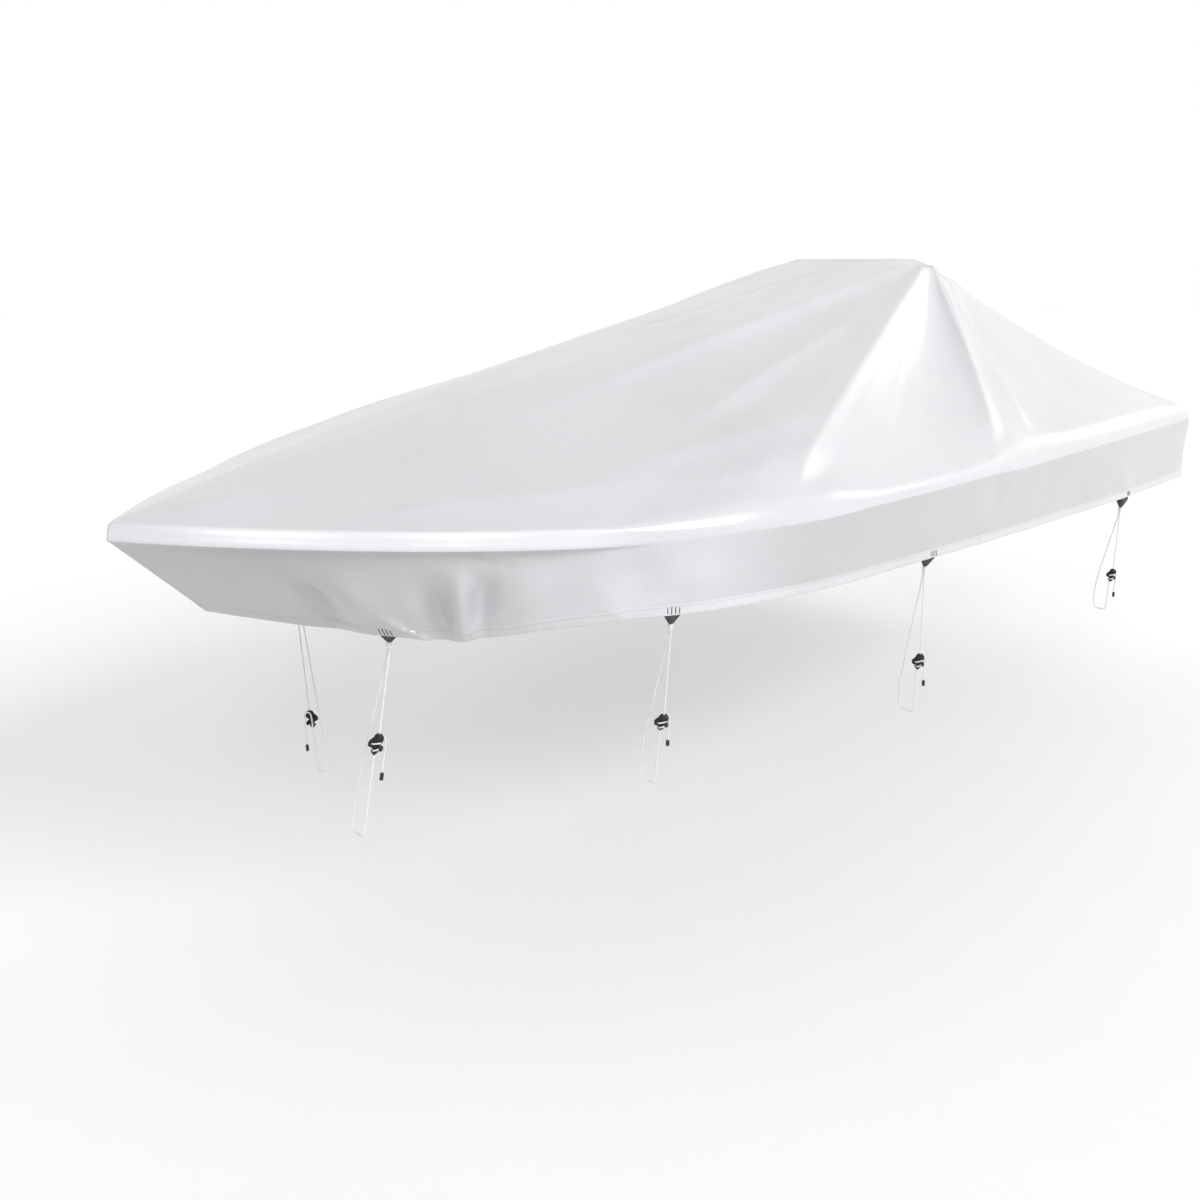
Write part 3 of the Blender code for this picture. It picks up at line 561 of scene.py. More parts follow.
def loop_route(at):
    """The long run: from the knot down inside, round the foot, up behind the cleat and down."""
    up, inward, tail_side = at["up"], at["inward"], at["tail_side"]
    foot, cleat = at["foot"], at["cleat_foot"]
    start = at["knot_foot"] - up * SEAT + inward * (RUN_APART / 2)
    inner = foot + inward * LOOP_WIDTH
    above = inner + up * 0.1
    behind = cleat + up * (CLEAT_HEIGHT * 0.5)
    turn = cleat + up * (CLEAT_HEIGHT * 0.72)
    near, far = LOOP_BEND * 0.3, LOOP_BEND * 1.6  # how close to a corner the bend's points lie
    route = [
        start,
        start - up * LEAD,
        start.lerp(above, 0.5),
        above,
        inner + up * far,
        inner + up * near - inward * near,
        inner - inward * far,
        foot + inward * far,
        foot + up * near + inward * near,
        foot + up * far,
        foot.lerp(cleat, 0.5),
        cleat,
        behind,
    ]
    for across, rise in ((0.12, 0.28), (0.5, 0.48), (0.88, 0.28)):
        route.append(turn + tail_side * (TURN_WIDTH * across) + up * (TURN_WIDTH * rise))
    route.append(behind + tail_side * TURN_WIDTH)
    route.append(cleat + tail_side * (TURN_WIDTH * 1.05))
    route.append(cleat - up * TAIL_LENGTH + tail_side * (TURN_WIDTH * 1.1))
    return route


# What only the picture needs. The camera, at the photograph's viewing angle:
CAMERA_PLACE = (2.679, -4.172, -0.009)
CAMERA_TURN = 44.7  # degrees to port of the way aft
CAMERA_DIP = 3.0
CAMERA_LENS = 35.64
CAMERA_SHIFT = -0.23
FLOOR_HEIGHT = -1.90


def link(obj):
    bpy.context.scene.collection.objects.link(obj)
    return obj


def add_camera():
    data = bpy.data.cameras.new("camera")
    data.lens = CAMERA_LENS
    data.sensor_width = 36
    data.shift_y = CAMERA_SHIFT
    camera = link(bpy.data.objects.new("camera", data))
    camera.location = CAMERA_PLACE
    turn, dip = math.radians(CAMERA_TURN), math.radians(CAMERA_DIP)
    level = math.cos(dip)
    ahead = Vector((-math.sin(turn) * level, math.cos(turn) * level, -math.sin(dip)))
    camera.rotation_euler = ahead.to_track_quat("-Z", "Y").to_euler()
    bpy.context.scene.camera = camera


class Nodes:
    """A material's or a world's node tree, written as calls that return sockets."""

    def __init__(self, owner, shader="Principled BSDF"):
        owner.use_nodes = True
        self.owner, self.tree = owner, owner.node_tree
        self.shader = self.tree.nodes[shader]

    def put(self, socket, value):
        if isinstance(value, bpy.types.NodeSocket):
            self.tree.links.new(value, socket)
        else:
            socket.default_value = value

    def finish(self, **values):
        """Fills the shader's sockets and gives back the material or world."""
        for key, value in values.items():
            self.put(self.shader.inputs[key.replace("_", " ")], value)
        return self.owner

    def add(self, kind, inputs=(), output=0, **settings):
        node = self.tree.nodes.new(kind)
        for key, value in settings.items():
            setattr(node, key, value)
        for key, value in dict(inputs).items():
            self.put(node.inputs[key], value)
        return node.outputs[output]

    def uv(self, layer):
        return self.add("ShaderNodeUVMap", uv_map=layer)

    def split(self, vector):
        return self.add("ShaderNodeSeparateXYZ", {0: vector}).node.outputs

    def math(self, operation, *values):
        return self.add("ShaderNodeMath", dict(enumerate(values)), operation=operation)

    def times(self, first, last):
        return self.math("MULTIPLY", first, last)

    def stretched(self, vector, scale):
        return self.add("ShaderNodeMapping", {"Vector": vector, "Scale": scale})

    def noise(self, vector, scale, detail=2.0, roughness=0.5):
        inputs = {"Vector": vector, "Scale": scale, "Detail": detail, "Roughness": roughness}
        return self.add("ShaderNodeTexNoise", inputs)

    def ramp(self, value, low, high, first, last):
        inputs = {"Value": value, "From Min": low, "From Max": high}
        inputs.update({"To Min": first, "To Max": last})
        return self.add("ShaderNodeMapRange", inputs, interpolation_type="SMOOTHSTEP")

    def blend(self, share, first, last):
        return self.add("ShaderNodeMix", {0: share, 6: first, 7: last}, 2, data_type="RGBA")

    def bump(self, height, strength, distance, under=None, invert=False):
        inputs = {"Height": height, "Strength": strength, "Distance": distance}
        if under is not None:
            inputs["Normal"] = under
        return self.add("ShaderNodeBump", inputs, invert=invert)


def material_nodes(name):
    return Nodes(bpy.data.materials.new(name))


def grey(value, warmth=0.0):
    return (value * (1 + warmth), value, value * (1 - warmth), 1)


def waves(nodes, value, pitch):
    """A row of equal waves, 0 to 1, along a distance in metres."""
    sine = nodes.math("SINE", nodes.times(value, 2 * math.pi / pitch))
    return nodes.math("MULTIPLY_ADD", sine, 0.5, 0.5)


def cloth_material():
    """Coated woven polyester: a fine weave under a satin coat, faint dust, handling marks and
    painted light and shade.
    """
    nodes = material_nodes("cover_cloth_detail")
    flat, drawn = nodes.uv("cloth"), nodes.uv("drawn")
    across, along, _ = nodes.split(flat)
    run, rise, _ = nodes.split(drawn)
    weave = nodes.times(waves(nodes, across, WEAVE_PITCH), waves(nodes, along, WEAVE_PITCH))
    streaks = nodes.noise(nodes.stretched(drawn, (9.0, 0.9, 1.0)), 1.0, 3.0, 0.55)
    creases = nodes.noise(nodes.stretched(drawn, (34.0, 5.0, 1.0)), 1.0, 2.0, 0.5)
    rumple = nodes.noise(flat, 14.0, 3.0, 0.6)
    hem = nodes.math("LESS_THAN", rise, HEM_HEIGHT + PUCKERS_ABOVE)
    puckers = nodes.noise(nodes.stretched(drawn, (70.0, 22.0, 1.0)), 1.0, 2.0, 0.6)
    puckers = nodes.times(puckers, hem)
    stitch_row = nodes.math("COMPARE", rise, HEM_HEIGHT - STITCH_INSET, 0.0009)
    dashes = nodes.math("GREATER_THAN", waves(nodes, run, STITCH_PITCH), 0.18)
    stitches = nodes.times(stitch_row, dashes)
    stem_seam = nodes.math("COMPARE", nodes.math("ABSOLUTE", run), STEM_SEAM, 0.0012)
    stem_seam = nodes.times(stem_seam, nodes.math("LESS_THAN", rise, STEM_SEAM_TOP))
    coat_normal = nodes.bump(streaks, 0.18, 0.004)
    normal = nodes.bump(creases, 0.10, 0.0010, coat_normal)
    normal = nodes.bump(rumple, 0.10, 0.0012, normal)
    normal = nodes.bump(puckers, 0.7, 0.0022, normal)
    normal = nodes.bump(stem_seam, 0.9, 0.0008, normal, invert=True)
    normal = nodes.bump(stitches, 0.9, 0.0005, normal)
    normal = nodes.bump(weave, 0.12, 0.00008, normal)
    coat_normal = nodes.bump(puckers, 0.7, 0.0022, coat_normal)
    dust = nodes.ramp(nodes.noise(flat, 1.6, 4.0, 0.62), 0.35, 0.75, 0.0, 1.0)
    mottle = nodes.ramp(nodes.noise(flat, 60.0, 2.0, 0.5), 0.3, 0.7, 0.0, 0.35)
    colour = nodes.blend(dust, CLOTH_LIGHT, CLOTH_DARK)
    colour = nodes.blend(mottle, colour, CLOTH_DARK)
    colour = nodes.blend(nodes.times(stitches, 0.55), colour, THREAD)
    colour = nodes.blend(nodes.times(stem_seam, 0.6), colour, THREAD)
    # painted light and shade: the sheet's tone lightens the bow band and aft hem and darkens the
    # skirt
    tone = nodes.add("ShaderNodeAttribute", output="Fac", attribute_name="tone")
    colour = nodes.add("ShaderNodeVectorMath", {0: colour, "Scale": tone}, operation="SCALE")
    rough = nodes.ramp(nodes.noise(flat, 5.0, 3.0, 0.6), 0.3, 0.7, 0.36, 0.46)
    return nodes.finish(
        Base_Color=colour,
        Roughness=rough,
        Normal=normal,
        Specular_IOR_Level=0.4,
        Coat_Weight=0.7,
        Coat_IOR=1.8,
        Coat_Roughness=0.20,
        Coat_Normal=coat_normal,
    )


CLOTH_LIGHT = (0.598, 0.603, 0.622, 1)
CLOTH_DARK = (0.556, 0.561, 0.578, 1)
THREAD = (0.47, 0.48, 0.49, 1)
WEAVE_PITCH = 0.0016
STITCH_PITCH = 0.0042
STITCH_INSET = 0.005  # below the hem's upper edge
PUCKERS_ABOVE = 0.004  # how far past that edge the hem's puckers reach
STEM_SEAM = 0.014  # how far each side of the stem its seam lies
STEM_SEAM_TOP = 0.24


def rope_material():
    """White braided rope: two sets of strands that cross, painted shade between them, a little
    soiled.
    """
    nodes = material_nodes("rope_detail")
    turned = nodes.uv("UVMap")
    around, along, _ = nodes.split(turned)
    left, right = (
        nodes.math("SINE", nodes.times(nodes.math(way, around, along), 8 * math.pi))
        for way in ("ADD", "SUBTRACT")
    )
    strands = nodes.math("MAXIMUM", left, right)
    soil = nodes.noise(nodes.stretched(turned, (1.0, 0.7, 1.0)), 1.5, 3.0)
    soil = nodes.ramp(soil, 0.4, 0.75, 0.0, 1.0)
    colour = nodes.blend(soil, grey(0.90, 0.01), grey(0.76, 0.03))
    # painted shade: darker grey in the grooves between the strands
    colour = nodes.blend(nodes.ramp(strands, -0.2, 0.7, 0.35, 0.0), colour, grey(0.55, 0.03))
    normal = nodes.bump(strands, 0.7, 0.0006)
    sheen = {"Sheen_Weight": 0.25, "Sheen_Roughness": 0.5}
    return nodes.finish(Base_Color=colour, Roughness=0.62, Normal=normal, **sheen)


def webbing_material():
    """Black woven webbing with ribs across it."""
    nodes = material_nodes("webbing_detail")
    flat = nodes.uv("UVMap")
    across, along, _ = nodes.split(flat)
    weave = nodes.times(waves(nodes, along, 0.0016), waves(nodes, across, 0.0011))
    fluff = nodes.noise(flat, 900.0, 2.0)
    worn = nodes.ramp(nodes.noise(flat, 70.0, 3.0), 0.5, 0.8, 0.0, 0.5)
    colour = nodes.blend(weave, grey(0.010), grey(0.030))
    colour = nodes.blend(worn, colour, grey(0.055, 0.02))
    normal = nodes.bump(fluff, 0.2, 0.0002, nodes.bump(weave, 0.8, 0.0004))
    sheen = {"Sheen_Weight": 0.3, "Sheen_Roughness": 0.4}
    return nodes.finish(Base_Color=colour, Roughness=0.82, Normal=normal, **sheen)


def plastic_material():
    """Black moulded plastic: a fine grain, lighter where edges have rubbed."""
    nodes = material_nodes("moulded_plastic_detail")
    where = nodes.add("ShaderNodeTexCoord", output="Object")
    grain = nodes.noise(where, 2600.0, 2.0)
    scuffs = nodes.noise(nodes.stretched(where, (1.0, 1.0, 0.25)), 260.0, 3.0)
    edge = nodes.add("ShaderNodeNewGeometry", output="Pointiness")
    rub = nodes.times(nodes.ramp(edge, 0.52, 0.62, 0.0, 1.0), scuffs)
    colour = nodes.blend(rub, grey(0.011), grey(0.075, 0.02))
    rough = nodes.ramp(scuffs, 0.3, 0.7, 0.34, 0.52)
    return nodes.finish(Base_Color=colour, Roughness=rough, Normal=nodes.bump(grain, 0.25, 0.0001))


def thread_material():
    """Fine black sewing thread, waxed a little."""
    nodes = material_nodes("thread_detail")
    twist = nodes.noise(nodes.add("ShaderNodeTexCoord", output="Object"), 3000.0, 1.0)
    colour = nodes.blend(twist, grey(0.02), grey(0.05))
    return nodes.finish(Base_Color=colour, Roughness=0.6, Normal=nodes.bump(twist, 0.3, 0.0001))


def floor_material():
    nodes = material_nodes("floor_plain")
    where = nodes.add("ShaderNodeTexCoord", output="Object")
    tone = nodes.ramp(nodes.noise(where, 0.7, 3.0), 0.3, 0.7, 0.0, 1.0)
    colour = nodes.blend(tone, grey(FLOOR_TONE), grey(FLOOR_TONE * 0.985))
    return nodes.finish(Base_Color=colour, Roughness=0.9, Specular_IOR_Level=0.1)


FLOOR_TONE = 0.93


def mesh_object(name, verts, faces, materials):
    mesh = bpy.data.meshes.new(name)
    mesh.from_pydata([tuple(vert) for vert in verts], [], faces)
    for material in materials:
        mesh.materials.append(material)
    mesh.validate()
    mesh.shade_smooth()
    return link(bpy.data.objects.new(name, mesh))


def loop_vertices(mesh):
    index = np.zeros(len(mesh.loops), dtype=np.int32)
    mesh.loops.foreach_get("vertex_index", index)
    return index


def add_uv(mesh, layer, per_loop):
    uv = mesh.uv_layers.new(name=layer)
    uv.data.foreach_set("uv", np.asarray(per_loop, dtype=np.float32).ravel())


def ride_for(obj, node):
    """The piece rides on the part and takes the place of its solid."""
    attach(obj, "root")
    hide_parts(node)
    return obj


def between(first, last, low, high, t):
    """The point at t on the line from first, at low, to last, at high."""
    return first * ((high - t) / (high - low)) + last * ((t - low) / (high - low))


def curve_points(points, spacing):
    """Points a set distance apart on a centripetal Catmull-Rom curve through the route."""
    padded = [points[0] * 2 - points[1], *points, points[-1] * 2 - points[-2]]
    fine = [points[0]]
    for p0, p1, p2, p3 in zip(padded, padded[1:], padded[2:], padded[3:]):
        t1 = (p1 - p0).length ** 0.5
        t2 = t1 + (p2 - p1).length ** 0.5
        t3 = t2 + (p3 - p2).length ** 0.5
        for i in range(1, CURVE_STEPS + 1):
            t = t1 + (t2 - t1) * i / CURVE_STEPS
            a1, a2 = between(p0, p1, 0, t1, t), between(p1, p2, t1, t2, t)
            a3 = between(p2, p3, t2, t3, t)
            b1, b2 = between(a1, a2, 0, t2, t), between(a2, a3, t1, t3, t)
            fine.append(between(b1, b2, t1, t2, t))
    fine = np.array([tuple(point) for point in fine])
    reach = np.r_[0, np.cumsum(np.linalg.norm(np.diff(fine, axis=0), axis=1))]
    wanted = np.linspace(0, reach[-1], max(4, round(reach[-1] / spacing)) + 1)
    even = np.c_[tuple(np.interp(wanted, reach, fine[:, i]) for i in range(3))]
    return [Vector(point) for point in even]


def tube(points, radii, sides, caps=True):
    """Vertices, faces and UVs of a round tube along points; UVs count turns and circumferences."""
    if not hasattr(radii, "__len__"):
        radii = [radii] * len(points)
    verts, faces, uvs = [], [], []
    aside = (points[1] - points[0]).normalized().orthogonal().normalized()
    ring = sides + 1
    last = (len(points) - 1) * ring
    run = 0.0
    for i, (point, radius) in enumerate(zip(points, radii)):
        before = points[max(i - 1, 0)]
        ahead = (points[min(i + 1, len(points) - 1)] - before).normalized()
        aside = (aside - ahead * aside.dot(ahead)).normalized()
        across = ahead.cross(aside)
        run += (point - before).length
        for j in range(ring):
            turn = 2 * math.pi * j / sides
            verts.append(point + (aside * math.cos(turn) + across * math.sin(turn)) * radius)
            uvs.append((j / sides, run / (2 * math.pi * max(radii))))
    for low in range(0, last, ring):
        for j in range(low, low + sides):
            faces.append((j, j + 1, j + ring + 1, j + ring))
    if caps:
        for start, point, order in ((0, points[0], -1), (last, points[-1], 1)):
            centre = len(verts)
            verts.append(point)
            uvs.append((0.5, uvs[start][1]))
            for j in range(start, start + sides):
                faces.append((*(j, j + 1)[::order], centre))
    return verts, faces, uvs


def piece(name, node, materials, parts):
    """One mesh from several (verts, faces, uvs, material index), welded where tubes close."""
    verts, faces, uvs, slots = [], [], [], []
    for part_verts, part_faces, part_uvs, material in parts:
        start = len(verts)
        verts += part_verts
        uvs += part_uvs
        faces += [tuple(start + v for v in face) for face in part_faces]
        slots += [material] * len(part_faces)
    obj = mesh_object(name, verts, faces, materials)
    mesh = obj.data
    mesh.polygons.foreach_set("material_index", slots)
    add_uv(mesh, "UVMap", np.array(uvs)[loop_vertices(mesh)])
    bm = bmesh.new()
    bm.from_mesh(mesh)
    bmesh.ops.remove_doubles(bm, verts=bm.verts, dist=1e-6)
    bmesh.ops.recalc_face_normals(bm, faces=bm.faces)
    bm.to_mesh(mesh)
    bm.free()
    return ride_for(obj, node)


ROPE_SIDES = 12
ROPE_SPACING = 0.006
CURVE_STEPS = 24


def knot_body(rings):
    """A few turns of rope round the run, drawn tight, over a core that fills their middle."""
    first, last = rings[0][0], rings[-1][0]
    axis = (last - first).normalized()
    aside = axis.orthogonal().normalized()
    across = axis.cross(aside)
    height = (last - first).length
    strand = CORD_DIAMETER * 0.46
    path = []
    for share in np.arange(97) / 96:
        turn = share * 2 * math.pi * KNOT_TURNS
        reach = 0.0016 + 0.0038 * math.sin(math.pi * min(1, 0.12 + share * 0.86)) ** 0.8
        along = strand + (height - 2 * strand) * share
        spoke = aside * math.cos(turn) + across * math.sin(turn)
        path.append(first + axis * along + spoke * reach)
    core = [first + axis * (height * share) for share in (0.04, 0.3, 0.6, 0.96)]
    core = tube(core, [0.0032, 0.0046, 0.0044, 0.0034], 8)
    return [(*tube(path, strand, 8), 0), (*core, 0)]


KNOT_TURNS = 3.4


def plate_body(outline, origin, along, down, out, thickness, edge):
    """A plate whose outline, turning from along to down, is rounded over at both faces."""
    count = len(outline)
    verts, uvs = [], []
    layers = ((0.0, edge), (edge * 0.3, edge * 0.3), (edge, 0.0))
    layers += tuple((thickness - depth, inset) for depth, inset in layers[::-1])
    for depth, inset in layers:
        for i, (a, d) in enumerate(outline):
            before, after = outline[i - 1], outline[(i + 1) % count]
            first = Vector((d - before[1], before[0] - a)).normalized()
            second = Vector((after[1] - d, a - after[0])).normalized()
            inward = (first + second).normalized()
            inward /= max(0.5, inward.dot(first))
            aa, dd = a + inward.x * inset, d + inward.y * inset
            verts.append(origin + along * aa + down * dd - out * depth)
            uvs.append((aa, dd))
    faces = []
    for low in range(0, (len(layers) - 1) * count, count):
        for i in range(count):
            j = (i + 1) % count
            faces.append((low + i, low + j, low + count + j, low + count + i))
    faces.append(tuple(range(count))[::-1])
    faces.append(tuple(range((len(layers) - 1) * count, len(layers) * count)))
    return verts, faces, uvs, 0


def softened(outline, radius, steps=3):
    """The outline with each corner rounded."""
    count = len(outline)
    result = []
    for i in range(count):
        here = Vector(outline[i])
        before, after = Vector(outline[i - 1]), Vector(outline[(i + 1) % count])
        cut = min(radius, (before - here).length * 0.4, (after - here).length * 0.4)
        first = here + (before - here).normalized() * cut
        last = here + (after - here).normalized() * cut
        for step in range(steps + 1):
            t = step / steps
            point = first * (1 - t) ** 2 + here * 2 * t * (1 - t) + last * t * t
            result.append((point.x, point.y))
    return result


def stitch_bodies(corners, origin, along, down, out):
    """Short raised stitches along a line of corners on a plate's outer face."""
    bodies = []
    for (a0, d0), (a1, d1) in zip(corners, corners[1:]):
        count = max(1, round(math.hypot(a1 - a0, d1 - d0) / TAB_STITCH))
        for i in range(count):
            ends = [
                (a0 + (a1 - a0) * t, d0 + (d1 - d0) * t)
                for t in ((i + 0.12) / count, (i + 0.82) / count)
            ]
            middle = ((ends[0][0] + ends[1][0]) / 2, (ends[0][1] + ends[1][1]) / 2)
            route = ((ends[0], -0.0002), (middle, STITCH_RADIUS), (ends[1], -0.0002))
            points = [origin + along * a + down * d + out * lift for (a, d), lift in route]
            bodies.append((*tube(points, STITCH_RADIUS, 5), 1))
    return bodies


TAB_STITCH = 0.0032
STITCH_RADIUS = 0.00035


def add_tie(tie, materials):
    """One tie: its two ropes, knot, tab, cleat and end cap, each in its solid's place."""
    name, side, aft, shown = tie[:4]
    at = tie_places(tie)
    rope, webbing, plastic, thread = materials
    up, inward, tail_side = at["up"], at["inward"], at["tail_side"]
    front = tail_side.cross(up)

    route = loop_route(at)
    face = at["cleat_foot"] + front * (CORD_DIAMETER / 2 + SEAT + CLEAT_THICKNESS)
    head = face - front * (CLEAT_THICKNESS / 2) + tail_side * CLEAT_HEAD
    head += up * (CLEAT_HEIGHT + SEAT)
    start = at["knot_foot"] - up * SEAT - inward * (RUN_APART / 2)
    first, last = start - up * LEAD, head + up * LEAD
    for end, solid, turns in (
        ("long", "loop", route),
        ("short", "short", [start, first, first.lerp(last, 0.5), last, head]),
    ):
        path = curve_points(turns, ROPE_SPACING)
        body = (*tube(path, CORD_DIAMETER / 2, ROPE_SIDES), 0)
        run = piece(f"rope_{name}_{end}", f"rope_{solid}_{name}", [rope], [body])

    knot = piece(f"knot_{name}_wound", f"knot_{name}", [rope], knot_body(at["knot_rings"]))

    axis = (route[-1] - route[-2]).normalized()
    profile = [(0.0, 0.0030), (0.0006, 0.0036), (0.0035, 0.0046), (0.0045, 0.0049)]
    for ring in range(4):
        base = 0.0055 + ring * 0.0026
        profile += [(base, 0.0049), (base + 0.0005, 0.0045), (base + 0.0013, 0.0045)]
        profile += [(base + 0.0018, 0.0049)]
    profile += [(0.0172, 0.0048), (0.0190, 0.0041), (0.0198, 0.0030), (0.0200, 0.0012)]
    points = [route[-1] + axis * SEAT + axis * along for along, _ in profile]
    body = (*tube(points, [radius for _, radius in profile], 20), 0)
    cap = piece(f"end_cap_{name}_ringed", f"end_cap_{name}", [plastic], [body])

    add_tab(name, shown, at["tab"], side * run_at(aft), [webbing, thread])
    cleat = add_cleat(name, at, face, front, [plastic, rope])


def add_tab(name, shown, frame, run, materials):
    """A tapered webbing tab, folded double, with rows of stitching along its edges."""
    tip = TAB_TIP / 2
    top = min(tip + (shown + TAB_TUCK) * TAB_FLARE / 2, TAB_WIDTH / 2)
    shoulder = shown - (top - tip) * 2 / TAB_FLARE
    outline = [(-top, -TAB_TUCK), (top, -TAB_TUCK), (tip, shown), (-tip, shown)]
    if shoulder > -TAB_TUCK + 0.001:
        outline = outline[:2] + [(top, shoulder)] + outline[2:] + [(-top, shoulder)]
    bodies = [plate_body(softened(outline, 0.0035), *frame, TAB_THICKNESS, 0.0009)]
    inset = 0.0035  # of the rows of stitches from the tab's edge
    for side in (-1, 1):
        upper = (side * (top - inset), max(shoulder, -TAB_TUCK + inset))
        bodies += stitch_bodies([upper, (side * (tip - 0.001), shown - 0.004)], *frame)
    for low in (0.006, 0.009):
        reach = tip + (low - 0.004) * TAB_FLARE / 2
        bodies += stitch_bodies([(-reach, shown - low), (reach, shown - low)], *frame)
    bodies += [(*tack, 1) for tack in hem_tacks(run)]
    piece(f"tab_{name}_sewn", f"tab_{name}", materials, bodies)


def hem_tacks(run):
    """The bars of thread that sew a tab on, where they show on the hem's outer face."""
    bodies = []
    for step, low, high in HEM_TACKS:
        points = []
        where = np.array([run + step])
        for row in (high, high - 0.012, (low + high) / 2, low + 0.012, low):
            spot = skirt_point(where, np.array([row]), True, small_folds(where, row))
            points.append(place(*(value[0] for value in spot)))
        bodies.append(tube(points, 0.0012, 6))
    return bodies


# step along the hem, row of the upper end, row of the lower end
HEM_TACKS = (
    (-0.017, 0.915, 0.975),
    (-0.006, 0.905, 0.985),
    (0.005, 0.910, 0.980),
    (0.016, 0.920, 0.985),
)


def add_cleat(name, at, face, front, materials):
    """A three-part cleat with a raised rim on its head, ribs, and the rope that crosses it."""
    up, tail_side = at["up"], at["tail_side"]

    def spot(across, rise, depth=0.0):
        return face + tail_side * across + up * rise + front * depth

    shape = softened(cleat_outline(), 0.0022)
    parts = [plate_body(shape, face, tail_side, up, front, CLEAT_THICKNESS, 0.0014)]
    centre = spot(CLEAT_HEAD, 0.0405)
    turns = [2 * math.pi * i / 24 for i in range(25)]
    rim = [centre + (tail_side * math.cos(turn) + up * math.sin(turn)) * 0.0082 for turn in turns]
    parts.append((*tube(rim, 0.0010, 6, caps=False), 0))
    boss = [centre + front * depth for depth in (-0.001, 0.0008, 0.0014, 0.0016)]
    parts.append((*tube(boss, [0.0046, 0.0046, 0.0040, 0.0026], 16), 0))
    ridge = ((-0.0150, 0.0262), (-0.0060, 0.0226), (0.0050, 0.0192), (0.0150, 0.0160))
    foot = ((0.0, 0.0022), (0.0002, 0.0060), (0.0, 0.0100))
    for line, radius in ((ridge, 0.0013), (foot, 0.0010)):
        points = curve_points([spot(*pair) for pair in line], 0.003)
        parts.append((*tube(points, radius, 8), 0))
    strand = CORD_DIAMETER * 0.42
    sunk = -CLEAT_THICKNESS * 0.55
    # share of the half width, depth: the rope comes round one edge and goes round the other
    crossing = ((-1.0, sunk), (-0.98, 0.0), (-0.62, strand * 0.9), (0.0, strand))
    crossing += tuple((-share, depth) for share, depth in crossing[2::-1])
    for low, high, half in ((0.0105, 0.0150, 0.0062), (0.0270, 0.0315, 0.0098)):
        line = []
        for share, depth in crossing:
            rise = (low + high) / 2 + share * (high - low) / 2
            line.append(spot(share * half + 0.002, rise, depth))
        parts.append((*tube(curve_points(line, 0.0018), strand, 10), 1))
    return piece(f"cleat_{name}_moulded", f"cleat_{name}", materials, parts)


def dense_runs(side):
    """The sheet's columns on one side: close together by tabs, sharp folds and the corner."""
    corner = run_at(LENGTH - STERN_CORNER)
    close = [(0.0, 0.06), (corner - 0.01, corner + 0.11)]
    tabs = [run_at(tie[2]) for tie in TIES if tie[1] == side]
    close += [(tab - CLOSE_BY_TAB, tab + CLOSE_BY_TAB) for tab in tabs]
    if side > 0:
        close.append([run_at(aft) for aft in SHARP_FOLDS])
    runs = [0.0]
    while runs[-1] < RIM_HALF - 0.004:
        fine = any(low <= runs[-1] <= high for low, high in close)
        runs.append(runs[-1] + (FINE_COLUMN if fine else WIDE_COLUMN))
    runs[-1] = RIM_HALF
    return runs


WIDE_COLUMN = 0.0150
FINE_COLUMN = 0.0075
CLOSE_BY_TAB = 0.06
SHARP_FOLDS = (0.40, 0.66)  # where along the port side the skirt's folds are sharp
COLUMNS_FROM = (0.55, 0.25)  # columns further out or aft of the peak end at its very edge
SKIRT_ROWS = (
    [1.0, 0.985, 0.965, 0.945, 0.925, 0.91, 0.9, 0.893, 0.887, 0.88, 0.872]
    + list(np.linspace(0.85, 0.215, 26))
    + [0.2, 0.18, 0.16, 0.14, 0.12, 0.1, 0.07, 0.035]
)
HEM_TURNED_ROWS = (9, 6, 3, 1)  # rows of the skirt that the hem's turned-in layer lies behind
ROLL_STEPS = 8
DECK_ROWS = 46
DECK_CROWDING = 1.15  # above 1 the deck's rows lie closer together by the rim


def rumple(x, y, z, octaves=3):
    """Seedless noise at many points, about -1 to 1."""
    return np.array([noise.fractal(Vector(spot), 0.9, 2.1, octaves) for spot in zip(x, y, z)])


def line_folds(table, u, v):
    """Height of the creases in a table at points in a plane."""
    total = np.zeros(np.shape(u))
    for *line, height, left, right, fade_in, fade_out in table:
        along, across = beside(line, u, v)
        width = np.where(across < 0, left, right)
        window = smooth(along, -fade_in, fade_in) * (1 - smooth(along, 1 - fade_out, 1 + fade_out))
        total = total + height * np.exp(-(np.abs(across / width) ** CREST)) * window
    return total


CREST = 1.35  # 2 would be a round crest, 1 a sharp one


def sheet_columns():
    """Each column's run, its place and outward normal at the rim, and its end at the peak."""
    runs = np.array(dense_runs(+1) + [-run for run in dense_runs(-1)[-2:0:-1]])
    x, aft, out_x, out_aft = rim_point(runs)
    end_x = np.clip(x / COLUMNS_FROM[0], -1, 1) * PEAK_HALF
    end_aft = np.clip((aft - PEAK_AFT) / COLUMNS_FROM[1], -1, 1) * PEAK_HALF_DEPTH
    end_aft = PEAK_AFT + end_aft
    return runs, x, aft, out_x, out_aft, end_x, end_aft


def sheet_rows(columns):
    """Rows of points from the hem's edge over the roll to the peak."""
    runs, aft = columns[0], columns[2]
    rows = []
    for row in SKIRT_ROWS:
        rows.append(skirt_point(runs, np.full(len(runs), row), True, small_folds(runs, row)))
    low = roll_start(aft)
    for step in range(ROLL_STEPS + 1):
        angle = low + (math.pi / 2 - low) * step / ROLL_STEPS
        rows.append(deck_point(columns, 1 - np.cos(angle), 0))
    for step in range(1, DECK_ROWS + 1):
        rows.append(deck_point(columns, 1.0, (step / DECK_ROWS) ** DECK_CROWDING))
    return rows


